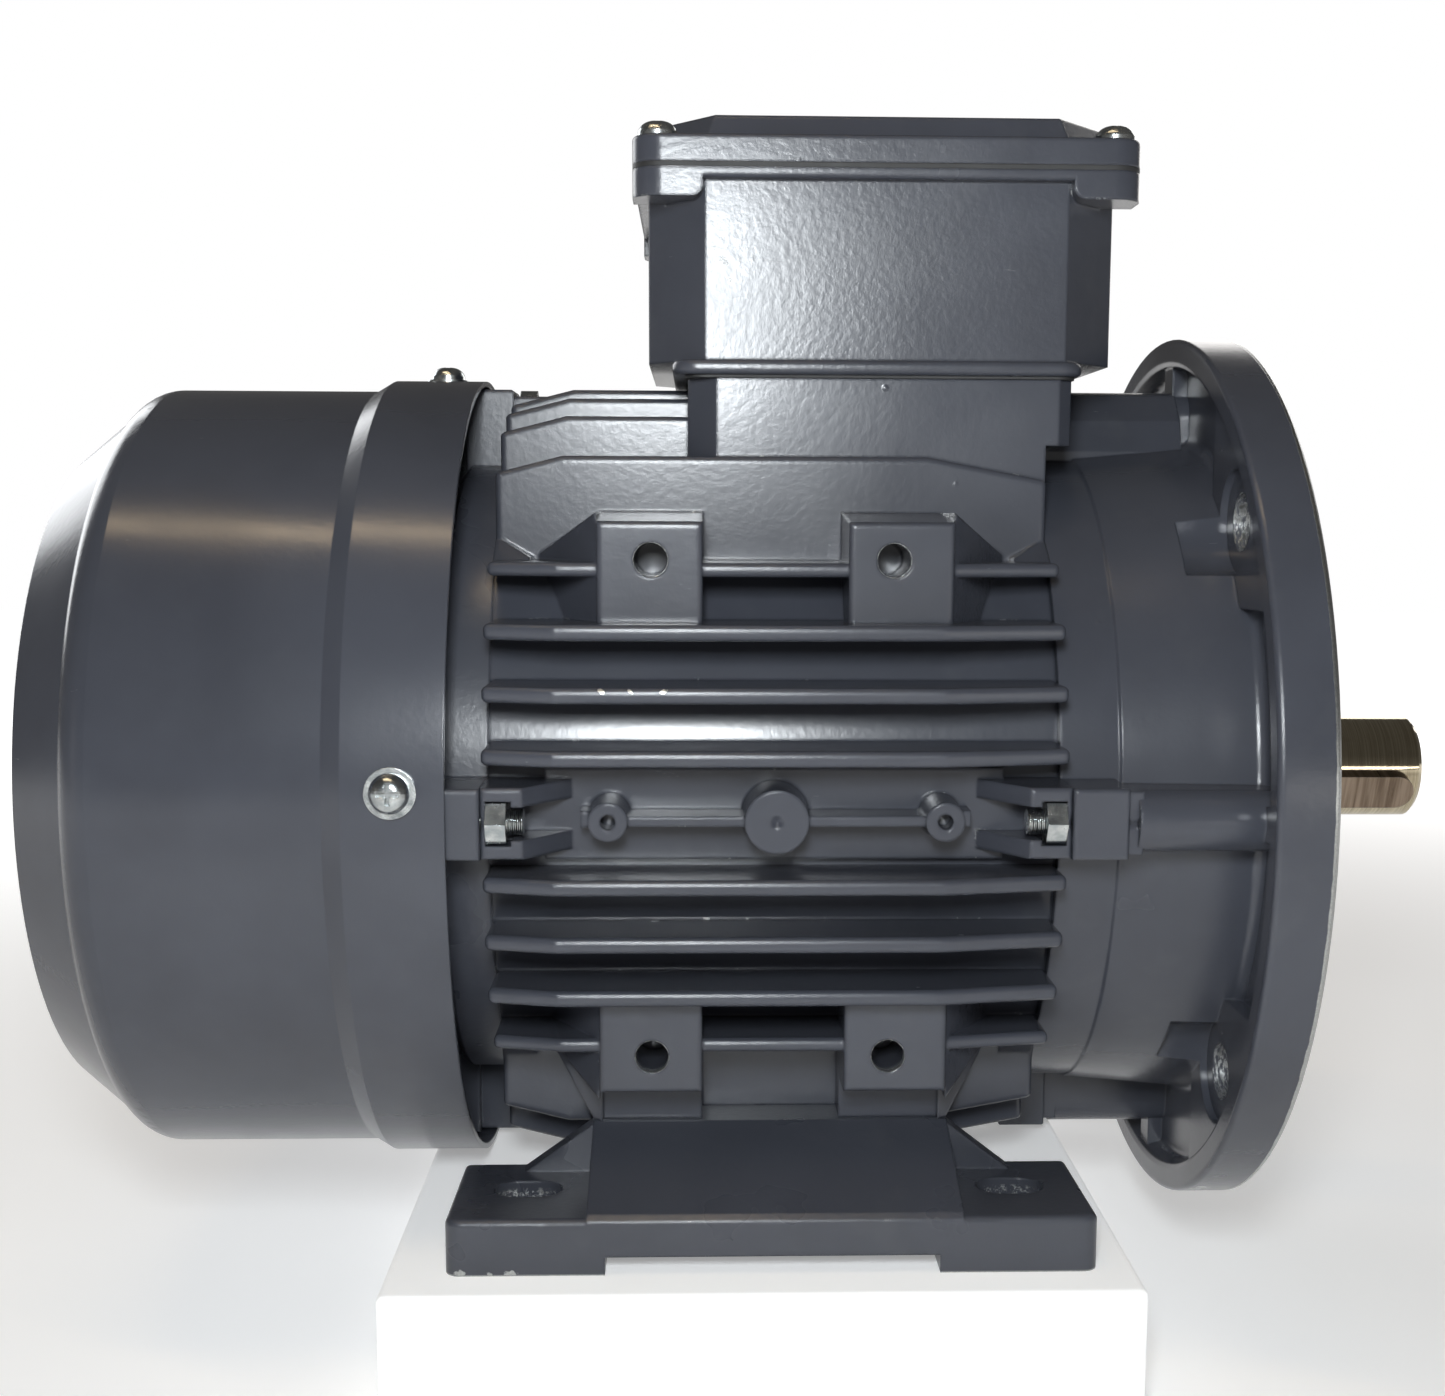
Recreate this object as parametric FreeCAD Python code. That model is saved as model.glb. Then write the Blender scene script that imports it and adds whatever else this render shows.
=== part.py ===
import FreeCAD, Part
import math
import os

# Three-phase induction motor, frame size 90S with feet and flange.
# Frame: +X along the shaft towards the drive end, +Z up, -Y the near side.
# The origin is on the shaft axis, in the plane of the flange's mounting face.
# All sizes are millimetres.

V = FreeCAD.Vector
ORIGIN = V(0, 0, 0)
SHAFT_AXIS = V(1, 0, 0)
UP = V(0, 0, 1)
SIDES = {"near": 0, "bottom": 90, "far": 180, "top": 270}
FAR_OUT = 200.0

# shaft
SHAFT_R = 12.0
SHAFT_END_X = 50.0
SHAFT_REAR_X = -226.0
BEARING_SEAT_R = 12.5
CORE_SEAT_R = 16.0
FAN_SEAT_R = 9.5
CENTRE_HOLE_R = 3.4
CENTRE_HOLE_DEPTH = 22.0
KEY_WIDTH = 8.0
KEY_HEIGHT = 7.0
KEY_SEAT_DEPTH = 4.0
KEY_X = (7.0, 47.0)
KEY_TURN = 18.0

# flange and drive end shield
FLANGE_R = 100.0
FLANGE_BOLT_CIRCLE_R = 82.5
FLANGE_HOLE_R = 6.0
FLANGE_BACK_X = -12.0
POCKET_X = -7.0
LAND_X = -10.5
RIM_INNER_R = 94.0
SPIGOT_R = 65.0
SPIGOT_LENGTH = 3.5
SPOT_FACE_R = 11.0
SPOT_FACE_X = -9.0
BELL_R = 76.0
BELL_STEP_X = -35.6
RING_R = 73.1

# housing
HOUSING_X = (-163.0, -48.0)
MIDDLE_X = -105.5
SHELL_R = 70.5
BORE_R = 66.0
FIN_OFFSETS = (12.6, 24.6, 36.5, 48.5)
OUTER_FIN = max(FIN_OFFSETS)
FIN_TIP_R = 88.0
FIN_THICKNESS = 3.2
OUTER_FIN_THICKNESS = 2.8
FIN_EDGE_R = 1.2
PAD_SIZE = 21.0
PAD_CENTRES_X = (-130.5, -80.5)
PAD_HOLES_X = (-130.3, -82.0)
PAD_REACH = 72.2
PAD_LATERAL = (37.6, 58.9)
PAD_HOLE_R = 3.4
PAD_HOLE_LATERAL = 50.5
PAD_HOLE_DEPTH = 18.0
PAD_ROOT = OUTER_FIN - 1.0

# tie bolts
TIE_R = 83.0
TIE_BOLT_R = 2.5
TIE_HOLE_R = 2.75
TIE_NUT_FLATS = 8.0
TIE_NUT_HEIGHT = 4.0
TIE_HEAD_HEIGHT = 3.5
TIE_WALL = 1.0
DRIVE_TIE_HEAD_X = -6.0
DRIVE_TIE_LENGTH = 50.5
REAR_TIE_LENGTH = 19.1
LUG_HALF = 7.0
LUG_REACH = 87.5
REAR_FACE_X = -173.9

# feet
FOOT_BASE_Z = -90.0
FOOT_X = (-171.0, -41.0)
FOOT_OUTER_Y = 89.0
FOOT_PAD_INNER_Y = 54.0
FOOT_PAD_TOP_Z = -79.6
FOOT_PAD_LENGTH = 31.7
FOOT_SEAT_Z = -68.0
FOOT_PLATE = 8.0
FOOT_INNER_Y = -38.6
FOOT_SEAT_INNER_Y = FOOT_INNER_Y + 0.5
FOOT_MIDDLE_X = (-143.0, -68.0)
FOOT_RELIEF_Z = -86.3
FOOT_SLOT_X = (-156.0, -56.0)
FOOT_SLOT_Y = 70.0
FOOT_SLOT_R = 5.0
FOOT_SLOT_LENGTH = 14.0
FOOT_BOLT_R = 4.0

# bearings (25 x 52 x 15)
BEARING_BORE_R = 12.5
BEARING_R = 26.0
BEARING_WIDTH = 15.0
BALL_COUNT = 9
BALL_R = 3.85
BALL_CIRCLE_R = 19.5
RACE_R = 4.15
INNER_SHOULDER_R = 17.2
OUTER_SHOULDER_R = 21.8
DRIVE_BEARING_X = -32.0
REAR_BEARING_X = -171.8

# stator and rotor
CORE_X = (-147.0, -66.0)
STATOR_BORE_R = 40.0
ROTOR_R = 39.5
SLOT_COUNT = 24
BAR_COUNT = 28
BAR_R = 2.2
BAR_CIRCLE_R = 34.5

# fan and cover
COVER_THICKNESS = 1.2
COVER_FRONT_X = -169.3
COVER_REAR_X = -261.0
COVER_R = 87.1
COVER_FRONT_R = 89.5
COVER_SCREW_X = -179.5
COVER_SCREW_TURN = -4.2
COVER_SCREW_R = 2.0
FAN_R = 73.0
FAN_DISC_X = -198.0
FAN_BLADE_COUNT = 8

# terminal box
BOX_CENTRE_X = -82.0
BOX_HALF_X = 49.4
BOX_HALF_Y = 49.0
BOX_CHAMFER_X = 12.0
BOX_CHAMFER_Y = 14.0
BOX_WALL = 3.2
BOX_BOTTOM_Z = 91.2
BOX_TOP_Z = 129.4
RIM_HALF_X = 52.4
RIM_HALF_Y = 52.0
RIM_BOTTOM_Z = 127.3
LUG_BOTTOM_Z = 123.6
LUG_INNER = 9.3
LID_RIM_TOP_Z = 135.9
LID_TOP_Z = 140.5
LID_CROWN_SLOPE = 2.0
LID_SCREW_X = 47.2
LID_SCREW_Y = 46.0
LID_SCREW_R = 1.7
GASKET = 1.0
BEAD_X = (-126.3, -40.4)
BEAD_HALF_Y = 50.0
BEAD_BOTTOM_Z = 88.2
BOX_GASKET = 0.6
NECK_X = (-123.0, -42.4)
NECK_Y = 48.0
NECK_TOP_Z = BEAD_BOTTOM_Z - BOX_GASKET

# terminals and leads
EARTH_PLACE = (BOX_CENTRE_X - 34, 24.0)
TERMINAL_X = (-100.0, -84.0)
TERMINAL_Y = (-16.0, 0.0, 16.0)
TERMINAL_BASE_Z = 97.2
TERMINAL_TOP_Z = 105.0
STUD_R = 2.0
LEAD_R = 1.2
LEAD_Z = TERMINAL_TOP_Z + 0.4
LEAD_LOW_Z = 95.8
LEAD_START_R = 58.3


# ---------------------------------------------------------------- helpers


def block(x0, x1, y0, y1, z0, z1):
    """A box between two corners."""
    return Part.makeBox(x1 - x0, y1 - y0, z1 - z0, V(x0, y0, z0))


def rod(radius, start, direction, length):
    """A cylinder from a point along a direction."""
    return Part.makeCylinder(radius, length, start, direction)


def drum(radius, x0, x1):
    """A cylinder on the shaft axis."""
    return rod(radius, V(x0, 0, 0), SHAFT_AXIS, x1 - x0)


def fuse(shapes):
    """One solid from several that touch or overlap."""
    shapes = list(shapes)
    return shapes[0].fuse(shapes[1:]).removeSplitter()


def cut(shape, tools):
    """The shape with several tools taken away."""
    return shape.cut(Part.makeCompound(list(tools)))


def prism(points, direction):
    """A polygon of 3-D points pushed along a vector."""
    wire = Part.makePolygon(list(points) + [points[0]])
    return Part.Face(wire).extrude(direction)


def outline_wire(start, steps):
    """Lines and arcs in the XZ plane: a step is an end point, or (point on the arc, end point)."""
    edges = []
    here = V(start[0], 0, start[1])
    for step in steps:
        if isinstance(step[0], tuple):
            via, end = (V(p[0], 0, p[1]) for p in step)
            edges.append(Part.Arc(here, via, end).toShape())
        else:
            end = V(step[0], 0, step[1])
            edges.append(Part.makeLine(here, end))
        here = end
    return Part.Wire(edges)


def turned(start, *steps):
    """A solid of revolution about the shaft axis from an outline of (x, radius) steps."""
    wire = outline_wire(start, list(steps) + [start])
    return Part.Face(wire).revolve(ORIGIN, SHAFT_AXIS, 360)


def spun(shape, degrees):
    """A copy turned about the shaft axis."""
    copy = shape.copy()
    copy.rotate(ORIGIN, SHAFT_AXIS, degrees)
    return copy


def on_sides(shape, names=SIDES):
    """Copies of a near-side shape on the named sides."""
    return [spun(shape, SIDES[name]) for name in names]


def mirrored_x(shape, x):
    """A copy mirrored in the plane of constant X."""
    return shape.mirror(V(x, 0, 0), V(1, 0, 0))


def mirrored_y(shape):
    """A copy mirrored in the middle plane."""
    return shape.mirror(ORIGIN, V(0, 1, 0))


def aimed(shape, position, direction):
    """A copy of a shape made along +Z, standing at a position along a direction."""
    copy = shape.copy()
    copy.Placement = FreeCAD.Placement(position, FreeCAD.Rotation(UP, direction))
    return copy


def softened(shape, radius, wanted):
    """Fillets on the edges that a test of their two end points accepts."""
    edges = [e for e in shape.Edges if wanted([v.Point for v in e.Vertexes])]
    return shape.makeFillet(radius, edges)


def hexagon(flats, height):
    """A hexagonal bar along +Z with chamfered corners at its top."""
    corner = flats / math.sqrt(3)
    points = [
        V(corner * math.cos(math.radians(60 * i + 30)), corner * math.sin(math.radians(60 * i + 30)), 0)
        for i in range(6)
    ]
    bar = prism(points, V(0, 0, height))
    drop = corner - flats / 2 * 0.98
    slope = Part.makeCone(corner + height * 1.7, flats / 2 * 0.98, height + drop * 0.6, ORIGIN, UP)
    return bar.common(slope.common(block(-99, 99, -99, 99, 0, height)))


def hex_nut(flats, height, bore_r):
    """A hexagon nut along +Z."""
    return hexagon(flats, height).cut(rod(bore_r, V(0, 0, -1), UP, height + 2))


def hex_bolt(radius, length, flats, head):
    """A hexagon bolt: the shank runs down from z = 0, the head stands on it."""
    shank = rod(radius, V(0, 0, -length), UP, length)
    return fuse([shank, hexagon(flats, head)])


def washer(inner_r, outer_r, thickness):
    """A flat washer on z = 0."""
    return rod(outer_r, ORIGIN, UP, thickness).cut(rod(inner_r, V(0, 0, -1), UP, thickness + 2))


def pan_screw(radius, length, head_r, head):
    """A cross-recessed pan-head screw: the shank runs down from z = 0."""
    wire = Part.Wire([
        Part.makeLine(V(0, 0, 0), V(head_r, 0, 0)),
        Part.makeLine(V(head_r, 0, 0), V(head_r, 0, head * 0.35)),
        Part.Arc(V(head_r, 0, head * 0.35), V(head_r * 0.78, 0, head * 0.83), V(0, 0, head)).toShape(),
        Part.makeLine(V(0, 0, head), V(0, 0, 0)),
    ])
    dome = Part.Face(wire).revolve(ORIGIN, UP, 360)
    arm = head_r * 0.55
    slot = head_r * 0.13
    recess = [
        block(-arm, arm, -slot, slot, head * 0.35, head + 1),
        block(-slot, slot, -arm, arm, head * 0.35, head + 1),
    ]
    shank = rod(radius, V(0, 0, -length), UP, length)
    return fuse([cut(dome, recess), shank])


# ---------------------------------------------------------------- housing


def cooling_fin(offset, thickness):
    """One near-side fin at height z = offset, with sloped ends and rounded outer edges."""
    tip = math.sqrt(FIN_TIP_R**2 - offset**2)
    if abs(offset) == OUTER_FIN:
        tip = PAD_REACH - 0.8
    root = math.sqrt((SHELL_R - 2) ** 2 - offset**2)
    x0, x1 = HOUSING_X
    z = offset - thickness / 2
    points = [
        V(x0, -root, z),
        V(x0, 3.6 - tip, z),
        V(x0 + 14, -tip, z),
        V(x1 - 25, -tip, z),
        V(x1, 4.7 - tip, z),
        V(x1, -root, z),
    ]
    plate = prism(points, V(0, 0, thickness))
    outer = root + 0.5
    return softened(plate, FIN_EDGE_R, lambda ends: all(p.y < -outer for p in ends) or (
        abs(ends[0].x - ends[1].x) < 0.1 and min(p.y for p in ends) < -outer))


def side_fins():
    """The eight fins of one side."""
    fins = []
    for offset in FIN_OFFSETS:
        thickness = FIN_THICKNESS if offset < OUTER_FIN else OUTER_FIN_THICKNESS
        fins.append(cooling_fin(offset, thickness))
        fins.append(cooling_fin(-offset, thickness))
    return fins


def mounting_pad(centre_x, outward):
    """A near-side upper pad with its slanted gusset on the side that faces the housing's end."""
    low, high = PAD_LATERAL
    half = PAD_SIZE / 2
    corners = [(-PAD_REACH, low), (-PAD_REACH, high - 0.9), (-PAD_ROOT, high + 1.2), (-PAD_ROOT, low)]
    pad = prism([V(centre_x - half, y, z) for y, z in corners], V(PAD_SIZE, 0, 0))
    pad = softened(pad, 1.0, lambda ends: all(p.y < -PAD_REACH + 0.1 for p in ends))
    side = centre_x + outward * half
    tip = side + outward * 14.5
    plan = prism(
        [V(side, -PAD_REACH + 1, low), V(side, -PAD_ROOT, low), V(tip, -PAD_ROOT, low)],
        V(0, 0, high - low + 3),
    )
    front = prism(
        [V(side, 0, low), V(side, 0, high + 1), V(tip, 0, low + 12.5), V(tip - outward * 3.5, 0, low)],
        V(0, -FAR_OUT, 0),
    )
    return fuse([pad, plan.common(front)])


def end_gusset(end_x, inward):
    """The small wedge in the corner between the outermost side fin and the next side's face."""
    length = inward * 7.5
    base = OUTER_FIN
    top = base + 6.3
    inner = end_x + length
    front = prism(
        [V(end_x, 0, base), V(end_x, 0, top), V(inner, 0, base + 2), V(inner, 0, base)], V(0, -FAR_OUT, 0)
    )
    section = prism(
        [V(end_x, -base, base), V(end_x, -base, top), V(end_x, -base - 10, base)], V(length, 0, 0)
    )
    return front.common(section)


def pads_for_side():
    """Four pads and the corner wedges of one side, above and below its middle."""
    x0, x1 = HOUSING_X
    upper = [
        mounting_pad(PAD_CENTRES_X[0], -1),
        mounting_pad(PAD_CENTRES_X[1], 1),
        end_gusset(x0, 1),
        end_gusset(x1, -1),
    ]
    return upper + [s.mirror(ORIGIN, UP) for s in upper]


def pad_holes():
    """Blind tapped holes of one side's pads."""
    holes = []
    for x in PAD_HOLES_X:
        for z in (PAD_HOLE_LATERAL, -PAD_HOLE_LATERAL):
            holes.append(rod(PAD_HOLE_R, V(x, -PAD_REACH - 1, z), V(0, 1, 0), PAD_HOLE_DEPTH + 1))
    return holes


def tie_block():
    """The rear near-side block that a tie bolt's nut sits in."""
    x0 = HOUSING_X[0]
    base = SHELL_R - 2
    plan = [V(x0, -base, 0), V(x0, -86, 0), V(x0 + 8, -86, 0), V(x0 + 17, -73, 0), V(x0 + 17, -base, 0)]
    body = prism([p - V(0, 0, LUG_HALF) for p in plan], V(0, 0, 2 * LUG_HALF))
    body = softened(body, 0.8, lambda ends: all(p.y < -85.9 for p in ends))
    nut_space = TIE_NUT_FLATS / 2 + 0.4
    pocket = block(x0 + TIE_WALL, x0 + 6, -90, -TIE_R + nut_space + 0.6, -nut_space, nut_space)
    slot = block(x0 + 5, x0 + 30, -90, -73, -3.3, 3.3)
    hole = rod(TIE_HOLE_R, V(x0 - 1, -TIE_R, 0), SHAFT_AXIS, 4)
    return cut(body, [pocket, slot, hole])


def side_bosses():
    """The three bosses, the thin web and the flat panel between the middle fins of one side."""
    panel = block(MIDDLE_X - 46, MIDDLE_X + 46, -73, -64, -9.2, 9.2)
    web = block(MIDDLE_X - 33, MIDDLE_X + 33, -83, -66, -1.0, 1.0)
    middle = Part.makeCone(7.2, 6.3, 18, V(MIDDLE_X, -66, 0), V(0, -1, 0))
    dimple = Part.makeCone(0.2, 1.6, 1.2, V(MIDDLE_X, -83, 0), V(0, -1, 0))
    pieces = [panel, web, middle]
    drilled = [dimple]
    for side in (-1, 1):
        x = MIDDLE_X + side * 33
        pieces.append(Part.makeCone(4.6, 3.85, 18, V(x, -66, 0), V(0, -1, 0)))
        pieces.append(block(*sorted((x, x + side * 5.5)), -80, -66, -1.6, 1.6))
        drilled.append(rod(1.5, V(x, -85, 0), V(0, 1, 0), 7))
    return cut(fuse(pieces), drilled)


def neck():
    """The pedestal that carries the terminal box, hollow, with a niche for the top tie-bolt nut."""
    x0, x1 = NECK_X
    y = NECK_Y
    plan = [
        (x0, -y + 6), (x0 + 6, -y), (x1 - 3, -y), (x1, -y + 3),
        (x1, y - 3), (x1 - 3, y), (x0 + 6, y), (x0, y - 6),
    ]
    column = prism([V(px, py, 50) for px, py in plan], V(0, 0, NECK_TOP_Z - 50))
    overhang = block(HOUSING_X[1], x1 + 9, -60, 60, 40, 74)
    room = block(x0 + 5, -69, -38, 38, 40, 95)
    wire_room = block(-70, -52, 14, 38, 40, 95)
    niche = block(-66, x1 + 9, -10, 10, 60, 89)
    lug_room = block(HOUSING_X[1], x1 + 9, -14.5, 14.5, 60, 89)
    bore = drum(SHELL_R - 1, -FAR_OUT, 0)
    return column, [overhang, room, wire_room, mirrored_y(wire_room), niche, lug_room], bore


def make_housing():
    x0, x1 = HOUSING_X
    shell = drum(SHELL_R, x0, x1)
    column, hollows, bore = neck()
    column = cut(column, hollows + [bore])
    blocks = on_sides(tie_block())
    front_blocks = [mirrored_x(b, MIDDLE_X) for b in blocks]
    fins = [fin for f in side_fins() for fin in on_sides(f)]
    fins = [fin.cut(Part.makeCompound(hollows)) if fin.BoundBox.ZMax > 60 else fin for fin in fins]
    pads = [p for pad in pads_for_side() for p in on_sides(pad, ("near", "bottom", "far"))]
    bosses = on_sides(side_bosses(), ("near", "far"))
    body = fuse([shell, column] + fins + pads + bosses + blocks + front_blocks)
    holes = [h for hole in pad_holes() for h in on_sides(hole, ("near", "bottom", "far"))]
    wire_ways = [block(-64, -54, s * 22 - 6, s * 22 + 6, 50, 80) for s in (-1, 1)]
    box_screw_holes = [rod(1.7, V(x, y, 80), UP, 20) for x, y in box_screw_places()]
    return cut(body, holes + wire_ways + box_screw_holes + foot_seats() + [drum(BORE_R, x0 - 1, x1 + 1)])


def foot_seats():
    """What is milled off the bottom pads and fins to seat the two feet."""
    x0, x1 = FOOT_MIDDLE_X
    near = block(x0 - 1, x1 + 1, -FAR_OUT, FOOT_SEAT_INNER_Y, -FAR_OUT, FOOT_SEAT_Z)
    return [near, mirrored_y(near)]


def box_screw_places():
    """Where the terminal box is screwed to the neck."""
    return [(x, y) for x in (NECK_X[0] + 2.6, NECK_X[1] - 3.4) for y in (-33, 33)]


# ---------------------------------------------------------------- end shields


def tie_lug(x0, x1):
    """A near-side lug that a tie bolt passes through."""
    lug = block(x0, x1, -LUG_REACH, -60, -LUG_HALF, LUG_HALF)
    return softened(lug, 0.8, lambda ends: all(p.y < -LUG_REACH + 0.1 for p in ends))


def flange_land():
    """A full-thickness land of the flange with its hole's spot face, at 45 degrees."""
    y = z = RIM_INNER_R / math.sqrt(2)
    land = block(LAND_X, POCKET_X + 1, -y - 18, -41, 41, z + 18)
    return land.common(drum(RIM_INNER_R + 2, LAND_X - 1, 0))


def make_drive_shield():
    body = turned(
        (SPIGOT_LENGTH, 60), (SPIGOT_LENGTH, SPIGOT_R - 0.5), (SPIGOT_LENGTH - 0.5, SPIGOT_R), (0,
        SPIGOT_R),
        (0, FLANGE_R - 0.6), (-0.6, FLANGE_R), (FLANGE_BACK_X + 1.2, FLANGE_R),
        ((FLANGE_BACK_X + 0.35, FLANGE_R - 0.35), (FLANGE_BACK_X, FLANGE_R - 1.2)),
        (FLANGE_BACK_X, RIM_INNER_R + 1), (FLANGE_BACK_X + 0.5, RIM_INNER_R), (POCKET_X - 1.5,
        RIM_INNER_R - 1),
        ((POCKET_X - 0.4, RIM_INNER_R - 1.5), (POCKET_X, RIM_INNER_R - 2.6)), (POCKET_X, BELL_R + 2.4),
        ((POCKET_X - 0.5, BELL_R + 0.8), (POCKET_X - 2, BELL_R)), (BELL_STEP_X, RING_R + 0.5),
        (BELL_STEP_X - 0.4, RING_R), (HOUSING_X[1], RING_R), (HOUSING_X[1], BORE_R),
        (HOUSING_X[1] - 4, BORE_R), (HOUSING_X[1] - 4, BORE_R - 4), (HOUSING_X[1], BORE_R - 4.5),
        (-18, BORE_R - 2), (-13, BORE_R - 6), (-12, 40), (-14, 33), (DRIVE_BEARING_X - 1.5, 33),
        (DRIVE_BEARING_X - 1.5, BEARING_R), (DRIVE_BEARING_X + 16.6, BEARING_R),
        (DRIVE_BEARING_X + 16.6, 21),
        (-11.5, 21), (-11.5, 17.5), (-4.5, 17.5), (-4.5, 24), (-3, 26), (-3, 58), (-1, 60),
    )
    ribs = [
        rod(6.2, V(-35, -81.8, 0), SHAFT_AXIS, 29),
        block(-35, -6, -81.8, -70, -6.2, 6.2),
        block(LAND_X, POCKET_X + 1, -RIM_INNER_R - 1, -80, -3.5, 3.5),
    ]
    lug = [tie_lug(HOUSING_X[1], -37), block(-37.5, -34, -85.8, -70, -6.2, 6.2)]
    top = prism([V(-47.5, y, z) for y, z in [(-14, 68), (-14, 74), (-11.5, 81), (-6, 87), (6, 87),
        (11.5, 81),
                                           (14, 74), (14, 68)]], V(37, 0, 0))
    lands = [spun(flange_land(), 90 * i) for i in range(4)]
    solid = fuse([body, top] + [r for rib in ribs + lug for r in on_sides(rib)] + lands)
    spot = FLANGE_BOLT_CIRCLE_R / math.sqrt(2)
    corner_holes = []
    for i in range(4):
        corner_holes.append(spun(rod(FLANGE_HOLE_R, V(-20, -spot, spot), SHAFT_AXIS, 30), 90 * i))
        corner_holes.append(spun(rod(SPOT_FACE_R, V(-20, -spot, spot), SHAFT_AXIS,
            20 + SPOT_FACE_X), 90 * i))
    tie_holes = on_sides(rod(TIE_HOLE_R, V(-60, -TIE_R, 0), SHAFT_AXIS, 70))
    tie_heads = on_sides(rod(5.2, V(-6, -TIE_R, 0), SHAFT_AXIS, 10))
    return cut(solid, corner_holes + tie_holes + tie_heads)


def cover_screw_ear():
    """A near-side ear of the rear shield with the tapped hole for a fan cover screw."""
    tip = -COVER_FRONT_R + COVER_THICKNESS + 0.5
    ear = fuse([
        block(COVER_SCREW_X - 5, REAR_FACE_X - TIE_HEAD_HEIGHT - 0.2, tip, -80, -3.2, 3.2),
        block(COVER_SCREW_X - 5, REAR_FACE_X + 1, tip, -66, -1.0, 3.2),
    ])
    hole = rod(COVER_SCREW_R, V(COVER_SCREW_X, -90, 0), V(0, 1, 0), 9)
    return spun(ear.cut(hole), COVER_SCREW_TURN)


def make_rear_shield():
    seat = REAR_BEARING_X
    body = turned(
        (HOUSING_X[0], SHELL_R), (REAR_FACE_X + 1.5, SHELL_R), (REAR_FACE_X, SHELL_R - 1.5),
        (REAR_FACE_X, 36),
        (seat - 6, 33), (seat - 8.6, 31), (seat - 8.6, 17.5), (seat - 1.6, 17.5), (seat - 1.6, 21),
        (seat, 21),
        (seat, BEARING_R), (seat + BEARING_WIDTH + 0.5, BEARING_R), (seat + BEARING_WIDTH + 0.5, 32),
        (HOUSING_X[0] - 1, 37), (HOUSING_X[0] - 1, 58), (HOUSING_X[0] + 3.5, BORE_R - 5),
        (HOUSING_X[0] + 3.5, BORE_R),
        (HOUSING_X[0], BORE_R),
    )
    lugs = on_sides(tie_lug(REAR_FACE_X, HOUSING_X[0]))
    ears = on_sides(cover_screw_ear())
    ribs = [spun(block(REAR_FACE_X - 4, REAR_FACE_X + 1, -62, -31, -2, 2), 45 + 90 * i) for i in range(4)]
    holes = on_sides(rod(TIE_HOLE_R, V(-180, -TIE_R, 0), SHAFT_AXIS, 20))
    return cut(fuse([body] + lugs + ears + ribs), holes)


# ---------------------------------------------------------------- fasteners


def make_tie_bolts(head_x, length, direction):
    bolt = hex_bolt(TIE_BOLT_R, length, TIE_NUT_FLATS, TIE_HEAD_HEIGHT)
    placed = aimed(bolt, V(head_x, -TIE_R, 0), V(direction, 0, 0))
    return Part.makeCompound(on_sides(placed))


def make_tie_nuts(seat_x, direction):
    nut = hex_nut(TIE_NUT_FLATS, TIE_NUT_HEIGHT, TIE_BOLT_R)
    placed = aimed(nut, V(seat_x, -TIE_R, 0), V(direction, 0, 0))
    return Part.makeCompound(on_sides(placed))


def cover_screws():
    screw = aimed(pan_screw(COVER_SCREW_R, 8.0, 3.9, 2.9), V(COVER_SCREW_X, -COVER_FRONT_R - 0.8,
        0), V(0, -1, 0))
    return Part.makeCompound(on_sides(spun(screw, COVER_SCREW_TURN)))


def cover_washers():
    ring = aimed(washer(2.1, 5.0, 0.8), V(COVER_SCREW_X, -COVER_FRONT_R, 0), V(0, -1, 0))
    return Part.makeCompound(on_sides(spun(ring, COVER_SCREW_TURN)))


# ---------------------------------------------------------------- fan cover and fan


def cover_outline(offset):
    """The fan cover's outline, moved inwards by an offset."""
    front = COVER_FRONT_R - offset
    side = COVER_R - offset
    rear = COVER_REAR_X + offset
    slope = offset * 0.72
    return (
        (COVER_FRONT_X, front), (-189.2, front), (-193.2, side), (-238.0, side),
        ((-241.4 + offset * 0.2, 86.1 - offset * 0.97), (-244.2 + slope * 0.7, 83.2 - slope)),
        (-256.4 + slope, 73.5 - slope),
        ((-259.6 + offset * 0.97, 46 - offset * 0.1), (rear, 17)),
    )


def make_fan_cover():
    outer = cover_outline(0)
    inner = cover_outline(COVER_THICKNESS)
    outer_solid = turned(*outer, (outer[-1][1][0], 0), (COVER_FRONT_X, 0))
    inner_solid = turned(*inner, (inner[-1][1][0], 0), (COVER_FRONT_X, 0))
    openings = []
    for ring in range(5):
        inner_r = 13 + ring * 9
        count = 6 if ring < 2 else 12
        bar = 2 * math.degrees(math.asin(2.0 / inner_r))
        for i in range(count):
            face = Part.Face(Part.makePolygon([
                V(-270, 0, inner_r), V(-250, 0, inner_r), V(-250, 0, inner_r + 5.5),
                V(-270, 0, inner_r + 5.5), V(-270, 0, inner_r),
            ]))
            openings.append(spun(face.revolve(ORIGIN, SHAFT_AXIS, 360 / count - bar), i * 360 / count))
    holes = on_sides(spun(rod(2.2, V(COVER_SCREW_X, -95, 0), V(0, 1, 0), 12), COVER_SCREW_TURN))
    return cut(outer_solid.cut(inner_solid), openings + holes)


def make_fan():
    hub = turned(
        (-197, FAN_SEAT_R), (-197, 15), (FAN_DISC_X, 20), (FAN_DISC_X, FAN_R), (FAN_DISC_X - 2.2, FAN_R),
        (FAN_DISC_X - 2.2, 22), (-220.5, 15), (-220.5, FAN_SEAT_R),
    )
    blade = prism(
        [V(FAN_DISC_X - 1, 0, 18), V(FAN_DISC_X - 1, 0, FAN_R), V(-221, 0, FAN_R), V(-224, 0, 52),
        V(-218, 0, 16)],
        V(0, 2.2, 0),
    )
    blades = [spun(blade, 360 / FAN_BLADE_COUNT * i) for i in range(FAN_BLADE_COUNT)]
    return fuse([hub] + blades).cut(drum(FAN_SEAT_R, -230, -190))


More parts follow.
